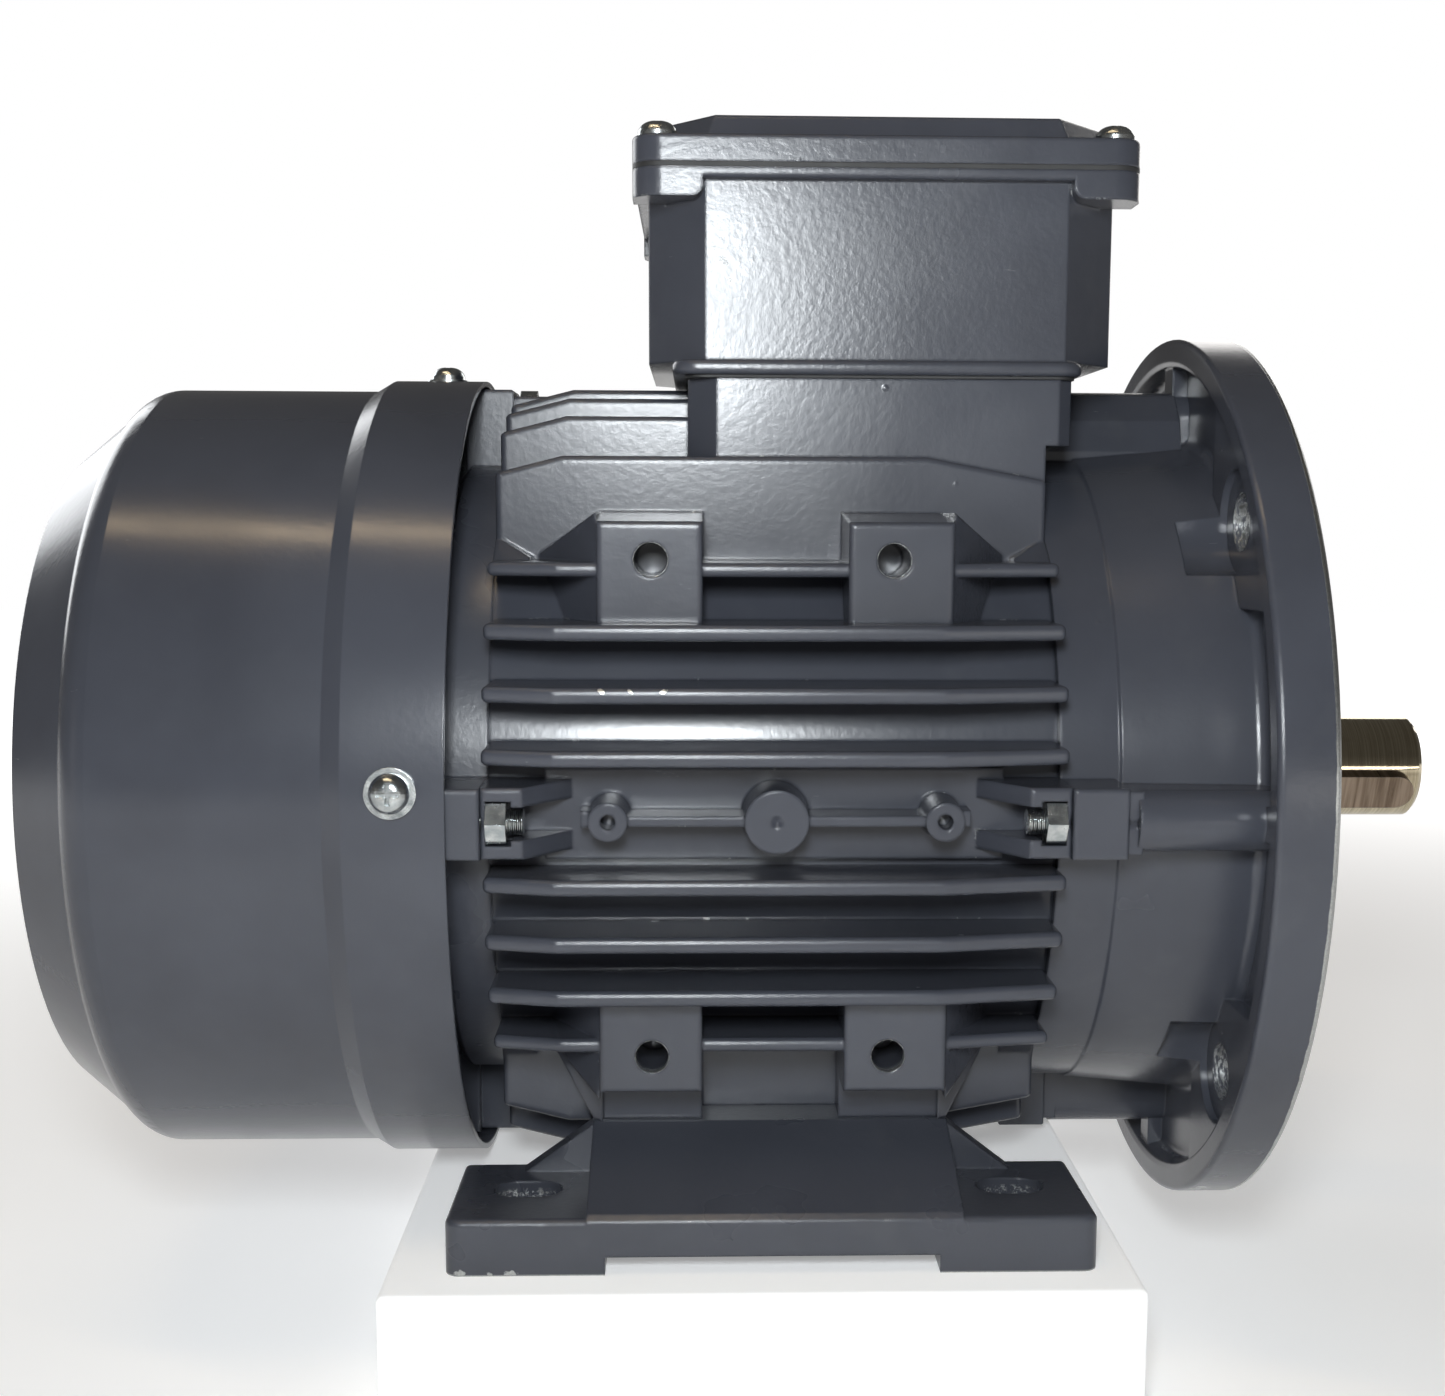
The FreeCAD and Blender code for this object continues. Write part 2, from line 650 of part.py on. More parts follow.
def make_fan_clip():
    """An external retaining ring behind the fan, with its gap and two eyes."""
    ring = turned((-220.6, FAN_SEAT_R - 0.5), (-220.6, 12.6), (-221.8, 12.6), (-221.8, FAN_SEAT_R - 0.5))
    gap = block(-225, -220, -2, 2, 0, 20)
    ears = [rod(2.2, V(-221.8, s * 3.6, 12.8), SHAFT_AXIS, 1.2) for s in (-1, 1)]
    eyes = [rod(0.9, V(-223, s * 3.6, 12.8), SHAFT_AXIS, 4) for s in (-1, 1)]
    return cut(fuse([ring.cut(gap)] + ears), eyes + [drum(FAN_SEAT_R - 0.5, -223, -220)])


# ---------------------------------------------------------------- rotor


def key_frame(shape):
    """A near-side shape turned to the key's place."""
    return spun(shape, KEY_TURN)


def key_body(radial_in, radial_out, half):
    """The key's rounded outline between two distances from the shaft axis."""
    x0, x1 = KEY_X
    depth = radial_out - radial_in
    ends = [rod(half, V(x, -radial_out, 0), V(0, 1, 0), depth) for x in (x0 + half, x1 - half)]
    return fuse(ends + [block(x0 + half, x1 - half, -radial_out, -radial_in, -half, half)])


def make_key():
    seat = SHAFT_R - KEY_SEAT_DEPTH
    return key_frame(key_body(seat, seat + KEY_HEIGHT, KEY_WIDTH / 2))


def make_shaft():
    seat = BEARING_SEAT_R
    shaft = turned(
        (SHAFT_END_X, 0), (SHAFT_END_X, SHAFT_R - 1), (SHAFT_END_X - 1, SHAFT_R), (0, SHAFT_R),
        (-0.5, seat),
        (DRIVE_BEARING_X, seat), (DRIVE_BEARING_X, 15.5), (CORE_X[1] + 10, 15.5), (CORE_X[1] + 10,
        CORE_SEAT_R),
        (CORE_X[0] - 5, CORE_SEAT_R), (CORE_X[0] - 5, 15.5), (REAR_BEARING_X + BEARING_WIDTH, 15.5),
        (REAR_BEARING_X + BEARING_WIDTH, seat), (-186, seat), (-186, 11.5), (-197, 11.5), (-197,
        FAN_SEAT_R),
        (-220.6, FAN_SEAT_R), (-220.6, FAN_SEAT_R - 0.5), (-221.8, FAN_SEAT_R - 0.5), (-221.8,
        FAN_SEAT_R),
        (SHAFT_REAR_X + 1, FAN_SEAT_R), (SHAFT_REAR_X, FAN_SEAT_R - 1), (SHAFT_REAR_X, 0),
    )
    centre = rod(CENTRE_HOLE_R, V(SHAFT_END_X + 1, 0, 0), V(-1, 0, 0), CENTRE_HOLE_DEPTH + 1)
    countersink = Part.makeCone(4.4, CENTRE_HOLE_R, 1.6, V(SHAFT_END_X, 0, 0), V(-1, 0, 0))
    seat_r = SHAFT_R - KEY_SEAT_DEPTH
    return cut(shaft, [centre, countersink, key_frame(key_body(seat_r, SHAFT_R + 5, KEY_WIDTH / 2))])


def cage_bars(radius):
    return [
        spun(rod(radius, V(CORE_X[0], -BAR_CIRCLE_R, 0), SHAFT_AXIS, CORE_X[1] - CORE_X[0]),
        360 / BAR_COUNT * i)
        for i in range(BAR_COUNT)
    ]


def make_rotor_core():
    core = drum(ROTOR_R, *CORE_X).cut(drum(CORE_SEAT_R, CORE_X[0] - 1, CORE_X[1] + 1))
    return cut(core, cage_bars(BAR_R))


def make_rotor_cage():
    rings = [
        drum(38.4, CORE_X[0] - 6, CORE_X[0]).cut(drum(28, -200, 0)),
        drum(38.4, CORE_X[1], CORE_X[1] + 6).cut(drum(28, -200, 0)),
    ]
    return fuse(rings + cage_bars(BAR_R))


# ---------------------------------------------------------------- stator


def slot_shape(x0, x1, inset, open_mouth):
    """One stator slot along the shaft, smaller all round by an inset."""
    mouth = [(1.3, STATOR_BORE_R - 1), (1.3, 42.5)] if open_mouth else []
    wall = mouth + [(2.6 - inset, 43.2 + inset), (4.6 - inset, 57 - inset)]
    points = [V(x0, -y, z) for y, z in wall] + [V(x0, y, z) for y, z in reversed(wall)]
    return prism(points, V(x1 - x0, 0, 0))


def make_stator_core():
    core = drum(BORE_R, *CORE_X).cut(drum(STATOR_BORE_R, CORE_X[0] - 1, CORE_X[1] + 1))
    slot = slot_shape(CORE_X[0] - 1, CORE_X[1] + 1, 0, True)
    return cut(core, [spun(slot, 360 / SLOT_COUNT * i) for i in range(SLOT_COUNT)])


def end_turns(x0, x1):
    """The rounded ring of end turns on one side of the core."""
    r0, r1 = 43.5, 58.0
    soft = 3.0
    return turned(
        (x0, r0 + soft), (x0, r1 - soft), ((x0 + 0.9, r1 - 0.9), (x0 + soft, r1)), (x1 - soft, r1),
        ((x1 - 0.9, r1 - 0.9), (x1, r1 - soft)), (x1, r0 + soft), ((x1 - 0.9, r0 + 0.9), (x1 - soft, r0)),
        (x0 + soft, r0), (x0 + 0.9, r0 + 0.9),
    )


def make_windings():
    bar = slot_shape(CORE_X[0] - 4, CORE_X[1] + 4, 0.3, False)
    bars = [spun(bar, 360 / SLOT_COUNT * i) for i in range(SLOT_COUNT)]
    return fuse([end_turns(CORE_X[0] - 14, CORE_X[0] - 0.5), end_turns(CORE_X[1] + 0.5,
        CORE_X[1] + 13)] + bars)


# ---------------------------------------------------------------- bearings and seals


def race(x0):
    """The ring-shaped groove that the balls run in."""
    circle = Part.makeCircle(RACE_R, V(x0 + BEARING_WIDTH / 2, 0, BALL_CIRCLE_R), V(0, 1, 0))
    return Part.Face(Part.Wire([circle])).revolve(ORIGIN, SHAFT_AXIS, 360)


def inner_ring(x0):
    ring = drum(INNER_SHOULDER_R, x0, x0 + BEARING_WIDTH).cut(drum(BEARING_BORE_R, x0 - 1,
        x0 + BEARING_WIDTH + 1))
    return ring.cut(race(x0))


def outer_ring(x0):
    x1 = x0 + BEARING_WIDTH
    ring = drum(BEARING_R, x0, x1).cut(drum(OUTER_SHOULDER_R, x0 - 1, x1 + 1))
    rebates = [drum(23.0, x0 - 1, x0 + 1.2), drum(23.0, x1 - 1.2, x1 + 1)]
    return cut(ring, rebates + [race(x0)])


def bearing_shields(x0):
    x1 = x0 + BEARING_WIDTH
    plates = [drum(23.0, x0 + 0.5, x0 + 1.2), drum(23.0, x1 - 1.2, x1 - 0.5)]
    return Part.makeCompound([p.cut(drum(INNER_SHOULDER_R + 0.5, x0 - 1, x1 + 1)) for p in plates])


def ball_places(x0):
    ball = V(x0 + BEARING_WIDTH / 2, -BALL_CIRCLE_R, 0)
    turns = [FreeCAD.Rotation(SHAFT_AXIS, 360 / BALL_COUNT * i) for i in range(BALL_COUNT)]
    return [turn.multVec(ball) for turn in turns]


def balls(x0):
    return Part.makeCompound([Part.makeSphere(BALL_R, place) for place in ball_places(x0)])


def ball_cage(x0):
    """The ring that keeps the balls apart, with a round window for each."""
    middle = x0 + BEARING_WIDTH / 2
    ring = drum(20.5, middle - 5.4, middle + 5.4).cut(drum(18.5, x0, x0 + BEARING_WIDTH))
    windows = []
    for place in ball_places(x0):
        outward = V(0, place.y, place.z).normalize()
        windows.append(rod(BALL_R + 0.2, place - outward * 4, outward, 8))
    return cut(ring, windows)


def wave_washer(x0, inner_r, outer_r, thickness, wave):
    """A washer bent into four waves along the shaft axis, standing on the plane x0."""
    count = 48
    rings = {}
    for name, radius, lift in (("a", inner_r, 0), ("b", outer_r, 0), ("c", outer_r, thickness),
            ("d", inner_r, thickness)):
        points = []
        for i in range(count):
            a = 2 * math.pi * i / count
            x = x0 + lift + wave * (1 - math.cos(4 * a)) / 2
            points.append(V(x, radius * math.cos(a), radius * math.sin(a)))
        curve = Part.BSplineCurve()
        curve.interpolate(points, PeriodicFlag=True)
        rings[name] = curve.toShape()
    faces = [Part.makeRuledSurface(rings[p], rings[q]) for p, q in ("ab", "bc", "cd", "da")]
    shell = Part.makeShell(faces)
    shell.sewShape()
    solid = Part.makeSolid(shell)
    if solid.Volume < 0:
        solid.reverse()
    return solid


def shaft_seal(x0, x1):
    """A lip seal that touches the shaft with a thin edge."""
    lip = BEARING_SEAT_R + 0.03
    return turned((x0, 17.5), (x0, 14.0), (x0 + 1.5, lip), (x0 + 2.3, lip), (x1 - 1, 14.6), (x1 - 1,
        16), (x1, 16),
                  (x1, 17.5))


# ---------------------------------------------------------------- feet


def make_foot():
    """The near foot."""
    x0, x1 = FOOT_X
    outer = -FOOT_OUTER_Y
    inner = -FOOT_PAD_INNER_Y
    pads = []
    for end, inward in ((x0, 1), (x1, -1)):
        near_x, far_x = sorted((end, end + inward * FOOT_PAD_LENGTH))
        section = [(outer, FOOT_BASE_Z), (outer, FOOT_PAD_TOP_Z + 1), (inner, FOOT_PAD_TOP_Z),
            (inner, FOOT_BASE_Z)]
        pad = prism([V(near_x, y, z) for y, z in section], V(far_x - near_x, 0, 0))
        pad = softened(pad, 3.0, lambda ends: all(abs(p.x - end) + abs(p.y - outer) < 0.1 for p in ends))
        pads.append(softened(pad, 1.4,
            lambda ends: all(p.z > FOOT_PAD_TOP_Z - 0.1 and p.y < outer + 4 for p in ends)))
    m0, m1 = FOOT_MIDDLE_X
    section = [
        (outer, FOOT_RELIEF_Z), (outer, -79.0), (outer + 1.2, -77.9), (-60, FOOT_SEAT_Z),
        (FOOT_INNER_Y, FOOT_SEAT_Z),
        (FOOT_INNER_Y, FOOT_SEAT_Z - FOOT_PLATE), (-61, FOOT_SEAT_Z - FOOT_PLATE), (-80, -83.5),
        (-80, FOOT_RELIEF_Z),
    ]
    middle = prism([V(m0, y, z) for y, z in section], V(m1 - m0, 0, 0))
    beam = block(x0 + 20, x1 - 20, outer, -80, FOOT_RELIEF_Z, -79.5)
    webs = []
    for edge, tip in ((m0, x0 + 13), (m1, x1 - 13)):
        inner_x = edge + 4 * math.copysign(1, MIDDLE_X - edge)
        web = prism([V(inner_x, inner - 5, -69), V(edge, inner - 5, -69), V(tip, inner - 5, -79.8),
                     V(inner_x, inner - 5, -85)], V(0, 5, 0))
        cheek_x = sorted((edge, inner_x))
        cheek = prism([V(cheek_x[0], y, z) for y, z in [(outer + 2, -79), (-60, FOOT_SEAT_Z), (-54,
            FOOT_SEAT_Z),
                                                      (-54, -86), (outer + 2, -86)]],
                                                      V(cheek_x[1] - cheek_x[0], 0, 0))
        webs += [web, cheek]
    foot = fuse([middle, beam] + pads + webs)
    slots = []
    for x in FOOT_SLOT_X:
        run = FOOT_SLOT_LENGTH / 2 - FOOT_SLOT_R
        for s in (-run, run):
            slots.append(rod(FOOT_SLOT_R, V(x + s, -FOOT_SLOT_Y, -95), UP, 25))
        slots.append(block(x - run, x + run, -FOOT_SLOT_Y - FOOT_SLOT_R, -FOOT_SLOT_Y + FOOT_SLOT_R,
            -95, -72))
    bolts = [rod(FOOT_BOLT_R + 0.5, V(x, -PAD_HOLE_LATERAL, -90), UP, 30) for x in PAD_HOLES_X]
    return cut(foot, slots + bolts)


def foot_bolts():
    bolt = hex_bolt(PAD_HOLE_R, 22.0, 13.0, 5.3)
    z = FOOT_SEAT_Z - FOOT_PLATE - 1.6
    return Part.makeCompound([aimed(bolt, V(x, y, z), V(0, 0, -1)) for x in PAD_HOLES_X
                              for y in (-PAD_HOLE_LATERAL, PAD_HOLE_LATERAL)])


def foot_washers():
    ring = washer(4.2, 8.0, 1.6)
    z = FOOT_SEAT_Z - FOOT_PLATE
    return Part.makeCompound([aimed(ring, V(x, y, z), V(0, 0, -1)) for x in PAD_HOLES_X
                              for y in (-PAD_HOLE_LATERAL, PAD_HOLE_LATERAL)])


# ---------------------------------------------------------------- terminal box


def box_plan(z, grow=0.0):
    """The box's eight-cornered plan at a height, as points."""
    hx, hy = BOX_HALF_X + grow, BOX_HALF_Y + grow
    cx, cy = BOX_CHAMFER_X, BOX_CHAMFER_Y
    ring = [(-hx, -hy + cy), (-hx + cx, -hy), (hx - cx, -hy), (hx, -hy + cy),
            (hx, hy - cy), (hx - cx, hy), (-hx + cx, hy), (-hx, hy - cy)]
    return [V(BOX_CENTRE_X + x, y, z) for x, y in ring]


def box_prism(z0, z1, grow=0.0):
    return prism(box_plan(z0, grow), V(0, 0, z1 - z0))


def rim_plate(z0, z1, radius=6.0):
    """The rounded rectangle of the rim and lid."""
    plate = block(BOX_CENTRE_X - RIM_HALF_X, BOX_CENTRE_X + RIM_HALF_X, -RIM_HALF_Y, RIM_HALF_Y, z0, z1)
    return softened(plate, radius, lambda ends: abs(ends[0].z - ends[1].z) > 0.5)


def lid_screw_places():
    return [(BOX_CENTRE_X + sx * LID_SCREW_X, sy * LID_SCREW_Y) for sx in (-1, 1) for sy in (-1, 1)]


def cable_entry_places():
    return [(BOX_CENTRE_X - 22, 10.0), (BOX_CENTRE_X + 20, 8.0)]


def base_bead():
    """The rounded flange under the box."""
    bead = block(*BEAD_X, -BEAD_HALF_Y, BEAD_HALF_Y, BEAD_BOTTOM_Z, BOX_BOTTOM_Z)
    bead = softened(bead, 5.0, lambda ends: abs(ends[0].z - ends[1].z) > 0.5)
    return bead.makeFillet(1.2, [e for e in bead.Edges if abs(e.Vertexes[0].Z - e.Vertexes[-1].Z) < 0.1])


def make_terminal_box():
    lugs = []
    for x, y in lid_screw_places():
        corner = block(x - LUG_INNER, x + LUG_INNER, y - 6.5, y + 6.5, LUG_BOTTOM_Z, BOX_TOP_Z)
        corner = softened(corner, 2.4, lambda ends: all(
            p.z < LUG_BOTTOM_Z + 0.1 and abs(p.x - BOX_CENTRE_X) < LID_SCREW_X for p in ends))
        lugs.append(rim_plate(LUG_BOTTOM_Z, BOX_TOP_Z).common(corner))
    rim = rim_plate(RIM_BOTTOM_Z, BOX_TOP_Z)
    rim = softened(rim, 1.0, lambda ends: all(abs(p.z - RIM_BOTTOM_Z) < 0.1 for p in ends))
    body = fuse([box_prism(BOX_BOTTOM_Z, BOX_TOP_Z), rim, base_bead()] + lugs)
    inside = box_prism(BOX_BOTTOM_Z + BOX_WALL, BOX_TOP_Z + 1, -BOX_WALL)
    floor_hole = block(-76, -50, -36, 36, BEAD_BOTTOM_Z - 1, BOX_BOTTOM_Z + BOX_WALL + 1)
    screws = [rod(LID_SCREW_R, V(x, y, LUG_BOTTOM_Z + 0.8), UP, 20) for x, y in lid_screw_places()]
    fixings = [rod(2.2, V(x, y, 80), UP, 20) for x, y in box_screw_places()]
    entries = [rod(r, V(x, 30, 109.5), V(0, 1, 0), 30) for x, r in cable_entry_places()]
    post_height = TERMINAL_BASE_Z - BOX_BOTTOM_Z - 1
    posts = [rod(3.2, V(x, y, BOX_BOTTOM_Z + 1), UP, post_height) for x, y in block_screw_places()]
    taps = [rod(1.5, V(x, y, BOX_BOTTOM_Z + 1.5), UP, 12) for x, y in block_screw_places()]
    earth = rod(3.2, V(*EARTH_PLACE, BOX_BOTTOM_Z + 1), UP, 5)
    earth_tap = rod(2.0, V(*EARTH_PLACE, BOX_BOTTOM_Z + 1.5), UP, 10)
    hollow = cut(body, [inside, floor_hole] + screws + fixings + entries)
    return cut(fuse([hollow, earth] + posts), taps + [earth_tap])


def make_box_gasket():
    x0, x1 = NECK_X
    plate = block(x0 - 0.6, x1 + 0.6, -NECK_Y - 0.6, NECK_Y + 0.6, NECK_TOP_Z, BEAD_BOTTOM_Z)
    plate = softened(plate, 4.0, lambda ends: abs(ends[0].z - ends[1].z) > 0.5)
    window = block(-117, -48.6, -38, 38, 80, 99)
    holes = [rod(2.2, V(x, y, 80), UP, 20) for x, y in box_screw_places()]
    return cut(plate, [window] + holes)


def box_screws():
    screw = pan_screw(1.7, 12.0, 3.6, 2.4)
    z = BOX_BOTTOM_Z + BOX_WALL
    return Part.makeCompound([aimed(screw, V(x, y, z), UP) for x, y in box_screw_places()])


def make_lid():
    rim = rim_plate(BOX_TOP_Z + GASKET, LID_RIM_TOP_Z)
    rim = softened(rim, 0.8, lambda ends: all(abs(p.z - LID_RIM_TOP_Z) < 0.1 for p in ends))
    wires = []
    for z, grow in ((LID_RIM_TOP_Z - 1, 0.0), (LID_TOP_Z, -LID_CROWN_SLOPE)):
        ring = box_plan(z, grow)
        wires.append(Part.makePolygon(ring + [ring[0]]))
    crown = Part.makeLoft(wires, True, True)
    crown = softened(crown, 1.0, lambda ends: all(abs(p.z - LID_TOP_Z) < 0.1 for p in ends))
    inside = box_prism(BOX_TOP_Z, LID_TOP_Z - 3, -4.0)
    screws = [rod(2.2, V(x, y, BOX_TOP_Z), UP, 20) for x, y in lid_screw_places()]
    return cut(fuse([rim, crown]), [inside] + screws)


def make_lid_gasket():
    ring = rim_plate(BOX_TOP_Z, BOX_TOP_Z + GASKET, 6.0)
    ring = ring.cut(box_prism(BOX_TOP_Z - 1, BOX_TOP_Z + 3, -BOX_WALL))
    screws = [rod(2.2, V(x, y, BOX_TOP_Z - 2), UP, 20) for x, y in lid_screw_places()]
    return cut(ring, screws)


def lid_screws():
    screw = pan_screw(LID_SCREW_R, 11.0, 4.1, 2.9)
    return Part.makeCompound([aimed(screw, V(x, y, LID_RIM_TOP_Z), UP) for x, y in lid_screw_places()])


def cable_plugs():
    """Blanking plugs of the two cable entries in the box's far wall."""
    solids = []
    for x, r in cable_entry_places():
        neck_part = rod(r, V(x, BOX_HALF_Y - BOX_WALL - 3, 109.5), V(0, 1, 0), BOX_WALL + 3 + 1.5)
        head = aimed(hexagon(2 * r + 6, 4.5), V(x, BOX_HALF_Y + 1.5, 109.5), V(0, 1, 0))
        solids.append(fuse([neck_part, head]))
    return Part.makeCompound(solids)


def plug_seals():
    return Part.makeCompound([
        aimed(washer(r, r + 2.6, 1.5), V(x, BOX_HALF_Y, 109.5), V(0, 1, 0)) for x,
        r in cable_entry_places()
    ])


# ---------------------------------------------------------------- terminals


def block_screw_places():
    return [(-92.0, -28.0), (-92.0, 28.0)]


def stud_places():
    return [(x, y) for x in TERMINAL_X for y in TERMINAL_Y]


def make_terminal_block():
    body = block(-108, -76, -33, 33, TERMINAL_BASE_Z, TERMINAL_TOP_Z - 2)
    ridges = [block(-108, -76, y - 1, y + 1, TERMINAL_BASE_Z, TERMINAL_TOP_Z + 3) for y in (-24, -8,
        8, 24)]
    seats = [rod(5.0, V(x, y, TERMINAL_BASE_Z), UP, TERMINAL_TOP_Z - TERMINAL_BASE_Z) for x,
        y in stud_places()]
    screws = [rod(2.0, V(x, y, 90), UP, 20) for x, y in block_screw_places()]
    studs = [rod(STUD_R, V(x, y, 90), UP, 40) for x, y in stud_places()]
    recess = [rod(3.6, V(x, y, 80), UP, TERMINAL_BASE_Z + 1.8 - 80) for x, y in stud_places()]
    return cut(fuse([body] + ridges + seats), screws + studs + recess)


def block_screws():
    screw = pan_screw(1.5, 9.5, 3.0, 2.2)
    return Part.makeCompound([aimed(screw, V(x, y, TERMINAL_TOP_Z - 2), UP) for x,
        y in block_screw_places()])


def terminal_studs():
    """Brass studs with a square-cornered head under the block."""
    solids = []
    for x, y in stud_places():
        shank = rod(STUD_R, V(x, y, TERMINAL_BASE_Z), UP, 22)
        head = rod(3.4, V(x, y, TERMINAL_BASE_Z), UP, 1.6)
        solids.append(fuse([shank, head]))
    return Part.makeCompound(solids)


def lead_lugs():
    """Ring lugs of the motor leads, under the links, with barrels that point away from the other row."""
    lugs = []
    for x, y in stud_places():
        outward = 1 if x == TERMINAL_X[1] else -1
        ring = washer(STUD_R, 4.2, 0.8)
        ring.translate(V(x, y, TERMINAL_TOP_Z))
        barrel = rod(1.6, V(x + outward * 5.2, y, LEAD_Z), V(outward, 0, 0), 3.5)
        strip = block(*sorted((x + outward * 3.5, x + outward * 5.6)), y - 1.4, y + 1.4,
            TERMINAL_TOP_Z, TERMINAL_TOP_Z + 0.8)
        lugs.append(fuse([ring, strip, barrel]))
    return Part.makeCompound(lugs)


def terminal_links():
    """Three brass links that join the two rows of studs."""
    z = TERMINAL_TOP_Z + 0.8
    links = []
    for y in TERMINAL_Y:
        bar = block(TERMINAL_X[0], TERMINAL_X[1], y - 3.5, y + 3.5, z, z + 1)
        ends = [rod(4.4, V(x, y, z), UP, 1) for x in TERMINAL_X]
        holes = [rod(STUD_R, V(x, y, z - 1), UP, 4) for x in TERMINAL_X]
        links.append(cut(fuse([bar] + ends), holes))
    return Part.makeCompound(links)


def terminal_nuts():
    z = TERMINAL_TOP_Z + 1.8
    nut = hex_nut(7.0, 3.2, STUD_R)
    return Part.makeCompound([aimed(nut, V(x, y, z), UP) for x, y in stud_places()])


def earth_screw():
    screw = pan_screw(2.0, 5.0, 4.2, 3.0)
    return aimed(screw, V(*EARTH_PLACE, BOX_BOTTOM_Z + 7.0), UP)


def earth_clamp():
    """The bent washer plate that the earth wire is clamped under."""
    plate = washer(2.1, 5.5, 1.0)
    plate.translate(V(*EARTH_PLACE, BOX_BOTTOM_Z + 6.0))
    return plate


def lead(points, radius, bend):
    """A wire along straight runs joined by tangent arcs."""
    edges = []
    here = points[0]
    for before, corner, after in zip(points, points[1:], points[2:]):
        a = (before - corner).normalize()
        b = (after - corner).normalize()
        half = a.getAngle(b) / 2
        reach = bend / math.tan(half)
        start = corner + a * reach
        end = corner + b * reach
        middle = (a + b).normalize()
        via = corner + middle * (bend / math.sin(half) - bend)
        edges.append(Part.makeLine(here, start))
        edges.append(Part.Arc(start, via, end).toShape())
        here = end
    edges.append(Part.makeLine(here, points[-1]))
    path = Part.Wire(edges)
    ring = Part.Wire([Part.makeCircle(radius, points[0], points[1] - points[0])])
    return path.makePipeShell([ring], True, False)


def motor_leads():
    """Six wires from the end turns through the housing and the box floor to the studs."""
    wires = []
    starts = {-16.0: (-20.0, -25.0), 0.0: (18.0, -18.0), 16.0: (25.0, 21.5)}
    for y in TERMINAL_Y:
        row_start, back_start = starts[y]
        z0 = math.sqrt(LEAD_START_R**2 - row_start**2)
        wires.append([V(-57, row_start, z0), V(-57, row_start, LEAD_Z), V(-70, y, LEAD_Z),
                      V(TERMINAL_X[1] + 8.7, y, LEAD_Z)])
        z0 = math.sqrt(LEAD_START_R**2 - back_start**2)
        wires.append([V(-61.5, back_start, z0), V(-61.5, back_start, LEAD_LOW_Z), V(-80, y, LEAD_LOW_Z),
                      V(-114, y, LEAD_LOW_Z), V(-114, y, LEAD_Z), V(TERMINAL_X[0] - 8.7, y, LEAD_Z)])
    return Part.makeCompound([lead(route, LEAD_R, 2.5) for route in wires])


# ---------------------------------------------------------------- all parts

PARTS = {}


def keep(name, shape):
    PARTS[name] = shape


def build():
    keep("stator_housing", make_housing())
    keep("drive_end_shield", make_drive_shield())
    keep("rear_end_shield", make_rear_shield())
    keep("fan_cover", make_fan_cover())
    keep("fan_cover_screws", cover_screws())
    keep("fan_cover_washers", cover_washers())
    keep("cooling_fan", make_fan())
    keep("fan_clip", make_fan_clip())
    keep("drive_tie_bolts", make_tie_bolts(DRIVE_TIE_HEAD_X, DRIVE_TIE_LENGTH, 1))
    keep("drive_tie_nuts", make_tie_nuts(HOUSING_X[1] - TIE_WALL, -1))
    keep("rear_tie_bolts", make_tie_bolts(REAR_FACE_X, REAR_TIE_LENGTH, -1))
    keep("rear_tie_nuts", make_tie_nuts(HOUSING_X[0] + TIE_WALL, 1))
    keep("shaft", make_shaft())
    keep("shaft_key", make_key())
    keep("rotor_core", make_rotor_core())
    keep("rotor_cage", make_rotor_cage())
    keep("stator_core", make_stator_core())
    keep("stator_windings", make_windings())
    for name, x0 in (("drive", DRIVE_BEARING_X), ("rear", REAR_BEARING_X)):
        keep(f"{name}_bearing_inner_ring", inner_ring(x0))
        keep(f"{name}_bearing_outer_ring", outer_ring(x0))
        keep(f"{name}_bearing_shields", bearing_shields(x0))
        keep(f"{name}_bearing_balls", balls(x0))
        keep(f"{name}_bearing_cage", ball_cage(x0))
    keep("wave_washer", wave_washer(DRIVE_BEARING_X + BEARING_WIDTH, 21.5, 25.5, 0.4, 1.2))
    keep("shaft_seal", shaft_seal(-11.5, -4.5))
    keep("rear_seal", shaft_seal(REAR_BEARING_X - 8.6, REAR_BEARING_X - 1.6))
    foot = make_foot()
    keep("near_foot", foot)
    keep("far_foot", mirrored_y(foot))
    keep("foot_bolts", foot_bolts())
    keep("foot_washers", foot_washers())
    keep("terminal_box", make_terminal_box())
    keep("box_gasket", make_box_gasket())
    keep("box_screws", box_screws())
    keep("terminal_lid", make_lid())
    keep("lid_gasket", make_lid_gasket())
    keep("lid_screws", lid_screws())
    keep("cable_plugs", cable_plugs())
    keep("plug_seals", plug_seals())
    keep("terminal_block", make_terminal_block())
    keep("block_screws", block_screws())
    keep("terminal_studs", terminal_studs())
    keep("terminal_links", terminal_links())
    keep("terminal_nuts", terminal_nuts())
    keep("earth_screw", earth_screw())
    keep("earth_clamp", earth_clamp())
    keep("lead_lugs", lead_lugs())
    keep("motor_leads", motor_leads())


if __name__ == "__main__":
    os.makedirs("parts", exist_ok=True)
    build()
    for name, shape in PARTS.items():
        print(name, shape.isValid(), len(shape.Solids), round(shape.Volume))
        shape.exportStep(f"parts/{name}.step")
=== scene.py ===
import math

import bpy
from mathutils import Matrix, Vector


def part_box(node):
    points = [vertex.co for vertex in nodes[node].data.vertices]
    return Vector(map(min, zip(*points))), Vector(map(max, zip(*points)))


# Looks of a foot and flange mounted induction motor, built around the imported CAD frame.
# Metres, +X along the shaft towards the drive end, +Z up, -Y the near side.

